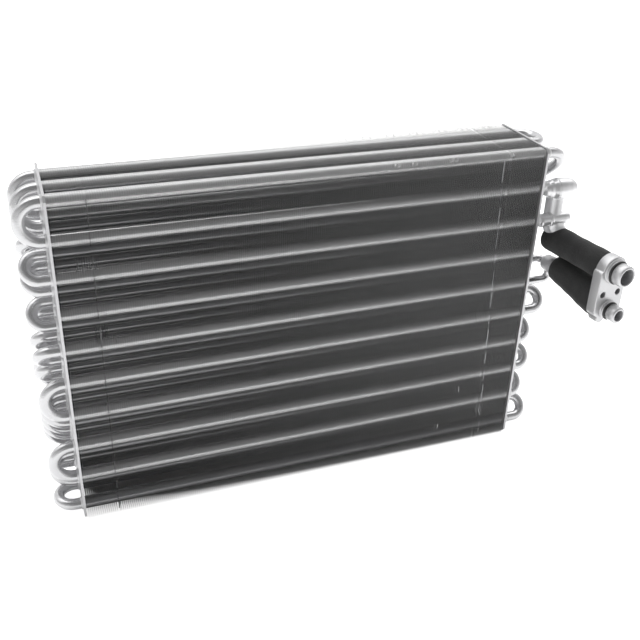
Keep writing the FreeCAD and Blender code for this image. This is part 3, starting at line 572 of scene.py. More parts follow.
for number, (first, second, reach) in enumerate(RETURN_BENDS, start=1):
    build(f"return_bend_tube_{number:02d}", return_bend(first, second, reach), "tube",
          TUBE_METAL, f"return_bend_{number:02d}")
    beads = [braze_ring(leg_end(tube)) for tube in (first, second)]
    build(f"return_bend_braze_{number:02d}", join_parts(beads), "tube", BRAZE_METAL)
print("return bends:", len(RETURN_BENDS), "with two beads each")

# %% [markdown]
# ## The fins
#
# A fin is a sheet of foil, pressed so that it stands square to the tubes. Neighbours face
# each other like two mirrors, and that is why the block doesn't look like foil: the eye
# sees each tube again and again, run together into a smooth band. So the fins have to be
# parallel and nearly polished. An Array modifier would make all of them alike. In one
# array of fin, side, row and column, single ones can stand off or be knocked over.

# %% Stack the fins
FIN_COUNT = 236
FIN_THICKNESS = 0.08 * MM
FIN_INSET = 0.6 * MM
ROW_SHARE = np.array([0.0, 0.35, 0.7, 0.975, 0.99, 1.0])
COLUMN_SHARE = np.array([-1.0, -0.93, 0.6, 0.85, 1.0])
SEAMS, SEAM_STEP = np.array([-145.0, 139.0]) * MM, 0.4
NICKS = np.array([54.0, 66.0, 95.0, 140.0]) * MM
NICK_HALF, NICK_LEAN, NICK_DROP = 2.6 * MM, 1.7 * MM, 0.5


def fin_places():
    """Return each fin's x: an even row, but at either seam one stands SEAM_STEP of a gap off."""
    inner = CORE[0] / 2 - PLATE
    place = np.linspace(-inner, inner, FIN_COUNT + 2)[1:-1]
    astray = np.abs(place[:, None] - SEAMS).argmin(axis=0)
    place[astray] += SEAM_STEP * (place[1] - place[0])
    return place


def fin_rim(rows, columns):
    """Number the points round the edge of a sheet of rows and columns, in turn."""
    return np.concatenate([
        np.arange(columns),
        np.arange(1, rows) * columns + columns - 1,
        (rows - 1) * columns + np.arange(columns - 1)[::-1],
        np.arange(1, rows - 1)[::-1] * columns])


def fin_stack():
    """Return all fins as closed thin sheets, and which of their faces are rims.

    x is the fin's own place, plus or minus half the thickness; y and z run over the
    sheet. Near a nick the front top corner leans over by lean * sin(2.1 * number) and
    drops by a share of the lean. All along the back the top corner leans by
    lean / 2 * sin(1.7 * number) * sin(0.23 * number).
    """
    place = fin_places()
    rows, columns = len(ROW_SHARE), len(COLUMN_SHARE)
    points = np.empty((len(place), 2, rows, columns, 3))
    halves = np.array([-0.5, 0.5])[:, None, None] * FIN_THICKNESS
    points[..., 0] = place[:, None, None, None] + halves
    points[..., 1] = COLUMN_SHARE * (CORE[1] / 2 - FIN_INSET)
    points[..., 2] = (FIN_INSET + ROW_SHARE * (CORE[2] - 2 * FIN_INSET))[:, None]
    number = np.arange(len(place))
    hit = np.abs(place[:, None] - NICKS).min(axis=1) < NICK_HALF
    points[:, :, -1, 0, 0] += (hit * NICK_LEAN * np.sin(number * 2.1))[:, None]
    points[:, :, -1, 0, 2] -= (hit * NICK_LEAN * NICK_DROP)[:, None]
    wave = np.sin(number * 1.7) * np.sin(number * 0.23)
    points[:, :, -1, -1, 0] += (NICK_LEAN / 2 * wave)[:, None]
    sheet = grid_faces(rows, columns, closed=False)
    count = rows * columns
    rim = fin_rim(rows, columns)
    following = np.roll(rim, -1)
    edges = np.stack([rim, following, following + count, rim + count], axis=-1)
    one = np.concatenate([sheet[:, ::-1], sheet + count, edges[:, ::-1]])
    is_rim = np.arange(len(one)) >= 2 * len(sheet)
    faces = one[None] + (number * 2 * count)[:, None, None]
    return points.reshape(-1, 3), faces.reshape(-1, 4), np.tile(is_rim, len(place))


points, faces, rims = fin_stack()
fins = build("fin_stack", (points, faces), "fin", FIN_METAL, "fin_pack", smooth=False)
second_finish(fins, RIM_METAL, rims)
print("fins:", len(fin_places()), "faces:", len(faces))

# %% [markdown]
# Here and there a knock has folded a few front edges, and where two stacks of fins meet,
# doubled edges make a broken line, dark at the left and pale at the right. Bending the
# fins would cost points in every fin, so small closed strips show the folds.

# %% Fold over a few front edges
# Each knock has its x and z in millimetres, its number of strips and its height.
KNOCKS = (
    (-154.0, 196.0, 6, 9.0), (-143.0, 196.0, 2, 7.0), (-147.5, 147.0, 6, 12.0),
    (-136.0, 142.0, 2, 6.0), (118.0, 52.0, 4, 6.0), (139.0, 30.0, 5, 8.0), (103.0, 20.0, 3, 5.0),
)
SEAM_LEANS = np.array([0.0, 11.0]) * MM
SEAM_STRIPS = 14
FOIL_STRIP = np.array([0.5, 0.06]) * MM


def strip_rows():
    """List each strip's x, z, half height and angle.

    Strip i of a knock stands i pitches on, height / 6 * sin(5 * i) higher, is shortened
    by up to a third and turned by 0.6 + 0.9 * sin(2.3 * i). A seam's strips climb the
    front in even steps and lean over from top to bottom.
    """
    pitch = fin_places()[1] - fin_places()[0]
    rows = []
    for x, z, count, height in KNOCKS:
        i = np.arange(count)
        rows.append(np.stack([x * MM + i * pitch, z * MM + np.sin(5.0 * i) * height * MM / 6,
                              height * MM / 2 * (1 - 0.3 * np.abs(np.sin(3.0 * i))),
                              0.6 + 0.9 * np.sin(2.3 * i)], axis=1))
    part = np.arange(SEAM_STRIPS)
    middle = (0.04 + 0.07 * part) * CORE[2]
    for x, lean in zip(SEAMS, SEAM_LEANS):
        rows.append(np.stack([x + lean * (1 - middle / CORE[2]) - lean / 2, middle,
                              CORE[2] * (0.025 + 0.01 * np.sin(4.0 * part)),
                              np.full(SEAM_STRIPS, 0.15)], axis=1))
    return np.concatenate(rows)


def foil_strips():
    """Return closed strips: the corners of a thin box, turned about z, at each strip's place."""
    x, z, half, angle = strip_rows().T[:, :, None]
    signs = np.array([(a, b, c) for c in (-1, 1) for a, b in ((-1, -1), (1, -1), (1, 1), (-1, 1))])
    wide, thick = signs[:, 0] * FOIL_STRIP[0] / 2, signs[:, 1] * FOIL_STRIP[1] / 2
    points = np.stack([x + np.cos(angle) * wide - np.sin(angle) * thick,
                       np.sin(angle) * wide + np.cos(angle) * thick
                       - (CORE[1] / 2 - FIN_INSET) + 0 * x,
                       z + signs[:, 2] * half], axis=-1)
    box = np.array([(3, 2, 1, 0), (4, 5, 6, 7), (0, 1, 5, 4), (1, 2, 6, 5), (2, 3, 7, 6),
                    (3, 0, 4, 7)])
    faces = box[None] + (np.arange(len(points)) * 8)[:, None, None]
    return points.reshape(-1, 3), faces.reshape(-1, 4)


points, faces = foil_strips()
folds = build("folded_fin_edges", (points, faces), "fin", FOLD_METAL, smooth=False)
# Strips left of the middle take the shaded metal: their dark colour is painted shade.
second_finish(folds, SHADED_METAL, points[faces[:, 0], 0] < 0)
print("folded strips:", len(points) // 8)

# %% [markdown]
# The fins keep their distance by short collars round every hole. The collars touch, so
# each tube looks like a smooth sleeve, and one sleeve for each costs far fewer faces
# than thousands of collars. The dies press a hole at every place of the pattern, so
# there are sleeves also at the four places where no tube runs.

# %% Line up the fins' collars as sleeves
SLEEVE_RADIUS, SLEEVE_GAP = 4.5 * MM, 0.2 * MM
EVERY_SEAT = ([(column, level) for column in (0, 2, 4) for level in range(10)]
              + [(column, level + 0.5) for column in (1, 3) for level in range(9)])


def sleeves():
    """Return a straight sleeve for every seat, from plate to plate."""
    ends = np.array([-1, 1]) * (RIGHT_FACE - PLATE - SLEEVE_GAP)
    return join_parts([carry_ring(on_axis(seat(tube), ends), SLEEVE_RADIUS, (0, 0, 1), sides=28)
                       for tube in EVERY_SEAT])


points, faces = sleeves()
sleeve_piece = build("fin_collar_sleeves", (points, faces), "fin", SLEEVE_METAL)
print("sleeves:", len(EVERY_SEAT), "faces:", len(faces))

# %% [markdown]
# Little light reaches the inner collars of real foil, and dust settles on the top ones.
# Blender follows the light into the block, but not through so many reflections. So deep
# faces take a darker metal and top ones a duller one, by column, level and side.

# %% Shade the deep collars and dull the top ones
deep = np.array([column in (1, 2, 3) for column, level in EVERY_SEAT])[:, None]
lowest = np.array([level == 9 for column, level in EVERY_SEAT])[:, None]
under_others = np.array([level > 0.6 for column, level in EVERY_SEAT])[:, None]
top_back = np.array([tube == (4, 0) for tube in EVERY_SEAT])[:, None]
middles = np.array([points[face].mean(axis=0) for face in faces]).reshape(len(EVERY_SEAT), -1, 3)
centres = np.array([seat(tube) for tube in EVERY_SEAT])[:, None, :]
looks_down = middles[:, :, 2] < centres[:, :, 2]
looks_forward = looks_down & (middles[:, :, 1] < centres[:, :, 1])
is_inner = deep & (under_others | looks_down) | top_back & looks_forward | lowest
second_finish(sleeve_piece, INNER_METAL, is_inner)
second_finish(sleeve_piece, TOP_METAL, ~is_inner & ~looks_down & ~under_others)
print("faces in the shade:", int(is_inner.sum()))

# %% [markdown]
# ## The end plates
#
# The plates are CAD nodes with the right shape, so they only get a better metal. Round
# each hole the real sheet is pressed into a short collar. A boolean would cut up the
# plate for it, and a ring that stands on the plate looks the same.

# %% Finish the plates and press their collars
COLLAR_OUT = np.array([0.0, 0.05, 0.9, 1.2, 1.21]) * MM
COLLAR_WIDTH = np.array([1.15, 0.95, 0.42, 0.34, 0.0]) * MM

for node_name in ("left_end_plate", "right_end_plate"):
    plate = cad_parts[node_name]
    plate.data.materials.clear()
    plate.data.materials.append(PLATE_METAL)


def collar_rings(face, outward):
    """Return a collar round every tube: its radius falls from the foot to the lip."""
    places = COLLAR_OUT * outward + face
    return join_parts([carry_ring(on_axis(one, places), TUBE_RADIUS + COLLAR_WIDTH, (0, 0, 1),
                                  sides=20, caps=False) for one in SEATS])


for side_name, outward in (("left", -1.0), ("right", 1.0)):
    build(f"{side_name}_plate_collars", collar_rings(outward * CORE[0] / 2, outward), "plate",
          PLATE_METAL)
print("collars on each plate:", len(SEATS))

# %% [markdown]
# ## The pipes at the right end
#
# The pipes and the flange share a frame, turned a few degrees from the core. An empty
# could carry them, but a finished piece's object stays at the origin. So a helper turns
# points from that frame, whose z goes up the riser and whose -y goes forward.

# %% Set up the pipes' own frame
PORT_ORIGIN = np.array([192.5, -22.0, 167.3]) * MM
PORT_ANGLE = math.radians(8.5)
PORT_TURN = np.array([[math.cos(PORT_ANGLE), -math.sin(PORT_ANGLE), 0],
                      [math.sin(PORT_ANGLE), math.cos(PORT_ANGLE), 0],
                      [0, 0, 1]])


def in_port(points):
    """Turn points given in millimetres in the pipes' frame, then move them to the core."""
    return np.asarray(points, float) * MM @ PORT_TURN.T + PORT_ORIGIN


port_x = PORT_TURN @ np.array([1.0, 0, 0])


def rounded_path(corners, radius, steps=10):
    """Return a path through corners with each inner corner cut by an arc.

    At a corner with unit directions a (in) and b (out), the arc starts at
    corner - a * radius * tan(turn / 2) and ends at corner + b * radius * tan(turn / 2);
    a quadratic blend of the three points stands in for the circle.
    """
    corners = np.asarray(corners, float)
    pieces = [corners[:1]]
    t = np.linspace(0, 1, steps)[:, None]
    for before, corner, after in zip(corners, corners[1:], corners[2:]):
        a = (corner - before) / np.linalg.norm(corner - before)
        b = (after - corner) / np.linalg.norm(after - corner)
        turn_angle = math.acos(float(np.clip(a @ b, -1, 1)))
        cut = radius * math.tan(turn_angle / 2)
        centre_pull = math.cos(turn_angle / 2)
        start, end = corner - a * cut, corner + b * cut
        weight = 2 * t * (1 - t) * centre_pull
        blend = (1 - t) ** 2 * start + weight * corner + t ** 2 * end
        pieces.append(blend / ((1 - t) ** 2 + weight + t ** 2))
    pieces.append(corners[-1:])
    return np.concatenate(pieces)


print("flange face centre:", in_port([[0, -63, 0]]).round(4))

# %% [markdown]
# The riser gathers the vapour, is closed by a dome and bends forward into the wrap. A
# sphere could cap it, but dome and pipe are one path here, whose radius grows from the
# tip. The photograph shows the riser slimmer and a little nearer to the core.

# %% Bend the riser and outlet pipe
OUTLET_RADIUS = 8.0 * MM
RISER_RADIUS = 6.6 * MM
RISER_TOP = 45.0
RISER_SHIFT = np.array([-2.6, 3.0, 0.0]) * MM
DOME_HEIGHT, DOME_START, DOME_STEPS = 3.0, 0.25, 6
NECK_GAP, NECK_FOOT, ELBOW_TOP, ELBOW_RADIUS = 0.5, 16.0, 12.0, 10.6
SHIFT_FOOT, SHIFT_HEIGHT = 4.0, 12.0
PIPE_FRONT = -55.0


def riser_path():
    """Return the outlet pipe's path and radii from the riser's closed top to the flange.

    The dome's radius is R * sin(t) while it falls by its height * (1 - cos(t)). The
    riser's shift grows evenly from 4 mm to 16 mm above the outlet's own level.
    """
    t = np.linspace(DOME_START, np.pi / 2, DOME_STEPS)
    dome = np.zeros((DOME_STEPS, 3))
    dome[:, 2] = RISER_TOP - DOME_HEIGHT * (1 - np.cos(t))
    neck = [(0, 0, RISER_TOP - DOME_HEIGHT - NECK_GAP), (0, 0, NECK_FOOT)]
    elbow = rounded_path([(0, 0, ELBOW_TOP), (0, 0, 0), (0, PIPE_FRONT, 0)], ELBOW_RADIUS)
    path = np.concatenate([dome[:-1], neck, elbow])
    radii = np.concatenate([RISER_RADIUS * np.sin(t[:-1]), np.full(2, RISER_RADIUS),
                            np.full(len(elbow), OUTLET_RADIUS)])
    placed = in_port(path)
    placed += RISER_SHIFT * np.clip((path[:, 2:] - SHIFT_FOOT) / SHIFT_HEIGHT, 0, 1)
    return placed, radii


riser = carry_ring(*riser_path(), port_x, sides=40)
build("outlet_riser_pipe", riser, "tube", PIPE_METAL, "outlet_pipe")
print("outlet pipe:", len(riser[0]), "points")

# %% [markdown]
# Two short tubes carry the vapour into the riser. They could be cylinders, but the
# carried ring does it too, with a bead of braze where each goes in.

# %% Run the two outlet tubes into the riser
BRANCH_RUN = 13.5 * MM
RISER_BEAD_BACK, RISER_BEAD_SIZE = 2.0 * MM, 1.6
for label, level in (("upper", 1), ("lower", 2)):
    start = leg_end((0, level), BEND_INSERT)
    end = start + np.array([BRANCH_RUN, 0, 0])
    build(f"{label}_outlet_branch", carry_ring([start, end], BEND_RADIUS, (0, 0, 1)), "tube",
          PIPE_METAL, f"{label}_outlet_tube")
    beads = [braze_ring(start + np.array([BEND_INSERT, 0, 0])),
             braze_ring(end - np.array([RISER_BEAD_BACK, 0, 0]), size=RISER_BEAD_SIZE)]
    build(f"{label}_outlet_braze", join_parts(beads), "tube", BRAZE_METAL)
print("outlet branches run from", start.round(4), "to", end.round(4))

# %% [markdown]
# The tubes cross the riser in two swollen joints. A subdivided cylinder could be pulled
# into shape, but a turned piece is a profile of places and radii. Half of each step
# between them is a cosine, so that it doesn't look like a stair.

# %% Swell the two joints at the riser
# Each pair is a place along x and the radius there, in millimetres.
UPPER_JOINT = np.array([(177.0, 4.4), (179.5, 5.6), (182.0, 7.0), (185.5, 7.7), (186.0, 7.2),
                        (186.5, 7.8), (191.0, 7.8), (196.0, 7.2), (200.0, 6.0), (202.0, 4.2),
                        (202.8, 1.8)]) * MM
LOWER_JOINT = np.array([(176.5, 4.3), (178.0, 4.7), (184.0, 4.7), (184.6, 5.1), (186.0, 5.1),
                        (186.6, 4.7), (197.0, 4.7), (200.0, 4.3), (201.6, 3.0), (202.2, 1.0)]) * MM
UPPER_JOINT_HEIGHT, LOWER_JOINT_HEIGHT, LOWER_JOINT_RISE = 207.2 * MM, 182.8 * MM, 0.8 * MM
JOINT_FORWARD = 1.0 * MM


def joint_body(profile, height, rise, count=90):
    """Carry a ring along x. Between two pairs of the profile, share s is half as it is and
    half (1 - cos(pi * s)) / 2, and radius = first * (1 - s) + second * s.
    """
    x = np.linspace(profile[0, 0], profile[-1, 0], count)
    number = np.clip(np.searchsorted(profile[:, 0], x) - 1, 0, len(profile) - 2)
    share = (x - profile[number, 0]) / (profile[number + 1, 0] - profile[number, 0])
    share = (share + (1 - np.cos(np.pi * share)) / 2) / 2
    radii = profile[number, 1] * (1 - share) + profile[number + 1, 1] * share
    path = np.stack([x, np.full(count, PORT_ORIGIN[1] - JOINT_FORWARD),
                     height + rise * (x - x[0]) / (x[-1] - x[0])], axis=1)
    return carry_ring(path, radii, (0, 1, 0), sides=36)


joints = [joint_body(UPPER_JOINT, UPPER_JOINT_HEIGHT, 0.0),
          joint_body(LOWER_JOINT, LOWER_JOINT_HEIGHT, LOWER_JOINT_RISE)]
build("outlet_riser_joints", join_parts(joints), "tube", PIPE_METAL)
print("joints at the riser:", len(joints))

# %% [markdown]
# The thin liquid pipe dips from the flange to the distributor, a turned block. Cylinders
# with a Bevel modifier could do. As carried rings, the pipe follows its rounded path and
# the block has its bevels in its list.

# %% Bend the liquid pipe and turn the distributor
LEVEL_RISE, DROP, PIPE_BEND = -21.25, -30.0, 12.0
LIQUID_RADIUS = 4.75 * MM
BLOCK_PLACES = np.array([-9.0, -8.6, -7.8, -2.0, -1.2, 3.0, 3.7, 4.0])
BLOCK_RADII = np.array([4.9, 6.0, 6.5, 6.5, 6.1, 6.1, 5.6, 4.6]) * MM
LIQUID_BENDS = [(0, -50, DROP), (0, -14, LEVEL_RISE)]
liquid_path = rounded_path([(0, PIPE_FRONT, DROP), *LIQUID_BENDS,
                            (0, BLOCK_PLACES[0], LEVEL_RISE)], PIPE_BEND)
build("liquid_feed_pipe", carry_ring(in_port(liquid_path), LIQUID_RADIUS, port_x, sides=32),
      "tube", PIPE_METAL, "liquid_pipe")
block_path = in_port([(0, place, LEVEL_RISE) for place in BLOCK_PLACES])
build("distributor_block", carry_ring(block_path, BLOCK_RADII, port_x, sides=32), "tube",
      FLANGE_METAL, "distributor")
print("liquid pipe: from", in_port(liquid_path)[0].round(4), "to", block_path[-1].round(4))

# %% [markdown]
# From the block one feed tube turns down and one aside, each into its own circuit. Their
# middle lines could be curves, but the path helper already rounds a corner.

# %% Bend the two feed tubes
FEED_RADIUS, FEED_BEND, FEED_SOCKET = 3.0 * MM, 5.0 * MM, 3.2 * MM
FEED_BEAD_AHEAD, FEED_BEAD_SIZE = 0.6 * MM, 2.0
LOWER_START, UPPER_START, UPPER_BACK = 4.0, 1.5, 11.0
lower_corner = np.array([*PORT_ORIGIN[:2], seat((0, 4))[2]])
lower_start = lower_corner.copy()
lower_start[2] = PORT_ORIGIN[2] + (LEVEL_RISE - LOWER_START) * MM
lower_end = leg_end((0, 4), BEND_INSERT)
upper_start = in_port([[0, UPPER_START, LEVEL_RISE]])[0]
upper_corner = in_port([[0, UPPER_BACK / math.cos(PORT_ANGLE), LEVEL_RISE]])[0]
upper_end = leg_end((1, 3.5), BEND_INSERT)
for label, corners, normal in (("lower", (lower_start, lower_corner, lower_end), (0, 1, 0)),
                               ("upper", (upper_start, upper_corner, upper_end), (0, 0, 1))):
    path = rounded_path(corners, FEED_BEND)
    build(f"{label}_feed_pipe", carry_ring(path, FEED_RADIUS, normal), "tube", TUBE_METAL,
          f"{label}_feed_tube")
    bead_place = path[-1] + np.array([FEED_BEAD_AHEAD, 0, 0])
    build(f"{label}_feed_braze", braze_ring(bead_place, FEED_SOCKET, FEED_BEAD_SIZE), "tube",
          BRAZE_METAL)
print("feed tubes end at", lower_end.round(4), upper_end.round(4))

# %% [markdown]
# ## The foam wraps
#
# Closed-cell foam keeps the pipes from dripping. A plain cylinder would give it away,
# as real foam swells and shrinks along its length. The wrap is a thick skin of two
# carried rings. Its outer radius wanders, and its ends round off and show the cut.

# %% Carry a foam skin along a pipe
FOAM_WANDER, FOAM_END, FOAM_END_RATE = 0.12 * MM, 0.6 * MM, 30


def foam_skin(path, outer, inner, normal, sides=48, rise=0.0):
    """Carry two rings along a path and join them at both ends.

    The outer radius is its own plus wander * (sin(9 s) + sin(23 s + 1)), less
    end * (exp(-30 s) + exp(-30 (1 - s))), where s is the share of the way. Points of
    the outer ring that lie above the path are lifted by the rise.
    """
    path = np.asarray(path, float)
    steps = np.linspace(0, 1, len(path))
    wander = FOAM_WANDER * (np.sin(9 * steps) + np.sin(23 * steps + 1.0))
    ends = FOAM_END * (np.exp(-steps * FOAM_END_RATE) + np.exp(-(1 - steps) * FOAM_END_RATE))
    skin, faces = carry_ring(path, outer + wander - ends, normal, sides, caps=False)
    hole, _ = carry_ring(path, inner, normal, sides, caps=False)
    skin = skin.reshape(len(path), sides, 3)
    above = skin[:, :, 2] - path[:, None, 2] > 0
    skin[:, :, 2] += above * np.broadcast_to(rise, len(path))[:, None]
    count = skin.shape[0] * sides
    points = np.concatenate([skin.reshape(-1, 3), hole])
    inner_faces = (grid_faces(len(path), sides) + count)[:, ::-1]
    j = np.arange(sides)
    k = (j + 1) % sides
    first = np.stack([j, j + count, k + count, k], axis=-1)
    last = (len(path) - 1) * sides
    final = np.stack([j + last, k + last, k + last + count, j + last + count], axis=-1)
    return points, faces + inner_faces.tolist() + first.tolist() + final.tolist()


print("a foam skin has", len(foam_skin([(0, 0, 0), (0, 1, 0)], 2, 1, (1, 0, 0))[0]), "points")

# %% [markdown]
# The outlet's wrap is straight, and the liquid pipe's is squeezed up against it. The
# points could stay where the rounded corners put them, but the wandering radius would
# crowd there, so they are first spread evenly.

# %% Wrap both pipes
OUTLET_FOAM_OUT, OUTLET_FOAM_IN = 10.2 * MM, 8.3 * MM
LIQUID_FOAM_OUT, LIQUID_FOAM_IN = 9.7 * MM, 5.05 * MM
FOAM_BACK, FOAM_FRONT, LIQUID_FOAM_BACK = 3.4, -54.6, -9.4
OUTLET_RINGS, LIQUID_RINGS, SQUEEZE = 60, 50, (7.5, 0.6)


def even_path(corners, radius, count):
    """Return a rounded path with its points spread evenly along its length."""
    path = rounded_path(corners, radius, steps=24)
    length = np.concatenate([[0], np.cumsum(np.linalg.norm(np.diff(path, axis=0), axis=1))])
    places = np.linspace(0, length[-1], count)
    return np.stack([np.interp(places, length, path[:, axis]) for axis in range(3)], axis=1)


outlet_skin = foam_skin(
    in_port(np.linspace((0, FOAM_BACK, 0), (0, FOAM_FRONT, 0), OUTLET_RINGS)),
    OUTLET_FOAM_OUT, OUTLET_FOAM_IN, port_x)
build("outlet_foam_skin", outlet_skin, "foam", FOAM, "outlet_foam_wrap")
liquid_foam_path = even_path([(0, FOAM_FRONT, DROP), *LIQUID_BENDS,
                              (0, LIQUID_FOAM_BACK, LEVEL_RISE)], PIPE_BEND, LIQUID_RINGS)
liquid_skin = foam_skin(in_port(liquid_foam_path), LIQUID_FOAM_OUT, LIQUID_FOAM_IN, port_x,
                        rise=np.linspace(*SQUEEZE, LIQUID_RINGS) * MM)
build("liquid_foam_skin", liquid_skin, "foam", FOAM, "liquid_foam_wrap")
print("foam skins:", len(outlet_skin[0]), "and", len(liquid_skin[0]), "points")

# %% [markdown]
# ## The connection flange
#
# The flange is a machined plate with a round lobe, a lug and two screw holes. Booleans
# could cut it from boxes and cylinders, but their edges are hard to round. A flat filled
# curve takes an outline and its holes and gives thickness and an even bevel.

# %% Draw the flange plate
FLANGE_BACK, FLANGE_FRONT, FLANGE_BEVEL = -55.0, -63.0, 0.5 * MM
LOBE_RADIUS, SHOULDER = 10.8, 1.0
SCREW_PLACES, SCREW_RADIUS = ((-7.0, -17.4), (7.0, -17.4)), 2.3


def arc_points(centre, radius, start, end, count):
    """Return points on a circle from one angle to another, in degrees."""
    angle = np.radians(np.linspace(start, end, count))
    return np.stack([centre[0] + radius * np.cos(angle), centre[1] + radius * np.sin(angle)],
                    axis=1)


def flange_outline():
    """Walk round the plate in millimetres: lobe, shoulder, side, foot, lug, and up again."""
    lobe_start = math.degrees(math.asin(SHOULDER / LOBE_RADIUS))
    return np.concatenate([
        arc_points((0, 0), LOBE_RADIUS, lobe_start, 180 - lobe_start, 30),
        [(-11.4, SHOULDER), (-12.5, -0.6)],
        arc_points((-7.5, -29.5), 5.0, 180, 262, 9),
        arc_points((-5.0, -36.0), 4.0, 165, 375, 14),
        arc_points((7.5, -29.5), 5.0, 278, 360, 9),
        [(12.5, -0.6), (11.4, SHOULDER)]])


def flange_body(name, loops):
    """Fill the first loop round the others, with thickness and a bevelled edge, and place it."""
    curve = bpy.data.curves.new(name, "CURVE")
    curve.dimensions = "2D"
    curve.fill_mode = "BOTH"
    curve.extrude = (FLANGE_BACK - FLANGE_FRONT) / 2 * MM - FLANGE_BEVEL
    curve.bevel_depth = FLANGE_BEVEL
    curve.bevel_resolution = 2
    curve.offset = -FLANGE_BEVEL
    for loop in loops:
        spline = curve.splines.new("POLY")
        spline.points.add(len(loop) - 1)
        flat = np.zeros((len(loop), 4))
        flat[:, :2] = np.asarray(loop) * MM
        flat[:, 3] = 1
        spline.points.foreach_set("co", flat.ravel())
        spline.use_cyclic_u = True
    holder = bpy.data.objects.new(name, curve)
    mesh = bpy.data.meshes.new_from_object(holder)
    bpy.data.objects.remove(holder)
    points = np.empty(len(mesh.vertices) * 3)
    mesh.vertices.foreach_get("co", points)
    points = points.reshape(-1, 3)
    middle = (FLANGE_BACK + FLANGE_FRONT) / 2 * MM
    upright = np.stack([points[:, 0], middle - points[:, 2], points[:, 1]], axis=1)
    placed = upright @ PORT_TURN.T + PORT_ORIGIN
    mesh.vertices.foreach_set("co", placed.ravel())
    mesh.update()
    piece = bpy.data.objects.new(name, mesh)
    bpy.context.scene.collection.objects.link(piece)
    return piece


screw_holes = [arc_points(place, SCREW_RADIUS, 0, 345, 24) for place in SCREW_PLACES]
flange_plate = flange_body("flange_plate", [flange_outline(), *screw_holes])
dress(flange_plate, "flange", FLANGE_METAL, "connection_flange")
print("flange plate faces:", len(flange_plate.data.polygons))

# %% [markdown]
# A drilled hole is rough and lets little light in. Its wall could be picked by hand, but
# a face belongs to it where the middle lies within the radius of the axis, and a cross
# product with the axis measures that.

# %% Darken the screw holes
forward = PORT_TURN @ np.array([0.0, -1.0, 0.0])
middles = np.empty(len(flange_plate.data.polygons) * 3)
flange_plate.data.polygons.foreach_get("center", middles)
middles = middles.reshape(-1, 3)
hole_axes = in_port([(x, FLANGE_FRONT, z) for x, z in SCREW_PLACES])
away = np.linalg.norm(np.cross(middles[:, None, :] - hole_axes, forward), axis=2).min(axis=1)
in_hole = away < (SCREW_RADIUS + 0.05) * MM
second_finish(flange_plate, BORE_METAL, in_hole)
print("faces in the screw holes:", int(in_hole.sum()))

# %% [markdown]
# Each stub is turned: a collar, a groove for the ring, a rounded mouth and a bore. Spin
# could sweep a drawn profile, but a list of distance and radius keeps each size in
# sight. It runs on into the bore, down to a closed floor.

# %% Turn the two stubs
BORE_ROWS, STUB_SIDES = 3, 48


def turned(profile, centre):
    """Turn a profile of (distance ahead of the flange's face, radius) round a stub's axis.

    Point j of ring i is axis_i + radius_i * (cos(a_j) * x + sin(a_j) * z).
    """
    profile = np.asarray(profile, float)
    path = np.stack([np.zeros(len(profile)), FLANGE_FRONT - profile[:, 0],
                     np.full(len(profile), centre)], axis=1)
    angle = np.linspace(0, 2 * np.pi, STUB_SIDES, endpoint=False)
    ring = np.cos(angle)[:, None] * port_x + np.sin(angle)[:, None] * np.array([0.0, 0.0, 1.0])
    points = in_port(path)[:, None, :] + (profile[:, 1] * MM)[:, None, None] * ring[None]
    return points.reshape(-1, 3), grid_faces(len(profile), STUB_SIDES)[:, ::-1].tolist()


def stub_profile(radius, bore, groove, collar):
    """List the stub's outline from its collar over the groove and mouth into the bore."""
    return [(-1.0, collar), (0.5, collar), (0.8, collar - 0.3), (0.8, radius + 0.15),
            (1.0, radius), (1.55, radius), (1.7, radius - 0.15), (1.7, groove + 0.15),
            (1.85, groove), (4.15, groove), (4.3, groove + 0.15), (4.3, radius - 0.15),
            (4.45, radius), (10.5, radius), (11.2, radius - 0.55), (11.5, radius - 0.95),
            (11.5, bore + 0.35), (11.2, bore), (4.0, bore), (-7.9, bore), (-7.9, 0.05)]


for label, centre, radius, bore, groove, collar in (
        ("outlet", 0.0, 7.95, 6.0, 6.7, 9.3), ("liquid", DROP, 6.1, 4.0, 4.85, 7.2)):
    points, faces = turned(stub_profile(radius, bore, groove, collar), centre)
    stub = build(f"{label}_stub", (points, faces), "flange", FLANGE_METAL)
    # The bore's wall and floor take the darker metal, as painted shade.
    second_finish(stub, BORE_METAL, np.arange(len(faces)) >= len(faces) - BORE_ROWS * STUB_SIDES)
print("stubs turned:", len(points), "points in the last")

# %% [markdown]
# A rubber ring lies in each groove. A torus would do, but the lathe helper knows the
# axes already, so the ring is one more profile: a circle in the middle of the groove.

# %% Seat the sealing rings
GROOVE_MIDDLE, RING_SECTION = 3.0, 2.0


def ring_profile(inner, count=14):
    """Return a closed circle: (middle + r * cos(a), inner + r + r * sin(a)), r half a section."""
    angle = np.linspace(0, 2 * np.pi, count + 1)
    half = RING_SECTION / 2
    return np.stack([GROOVE_MIDDLE + half * np.cos(angle),
                     inner + half + half * np.sin(angle)], axis=1)


for label, centre, inner in (("outlet", 0.0, 6.8), ("liquid", DROP, 4.95)):
    build(f"{label}_sealing_ring", turned(ring_profile(inner), centre), "seal", RUBBER,
          f"{label}_ring")
print("rings are", RING_SECTION, "mm thick")

# %% [markdown]
# ## Floor and light
#
# The photograph is a studio shot on white. A flat plane would show its far edge, so the
# floor runs back and sweeps up, as a photographer's paper does.

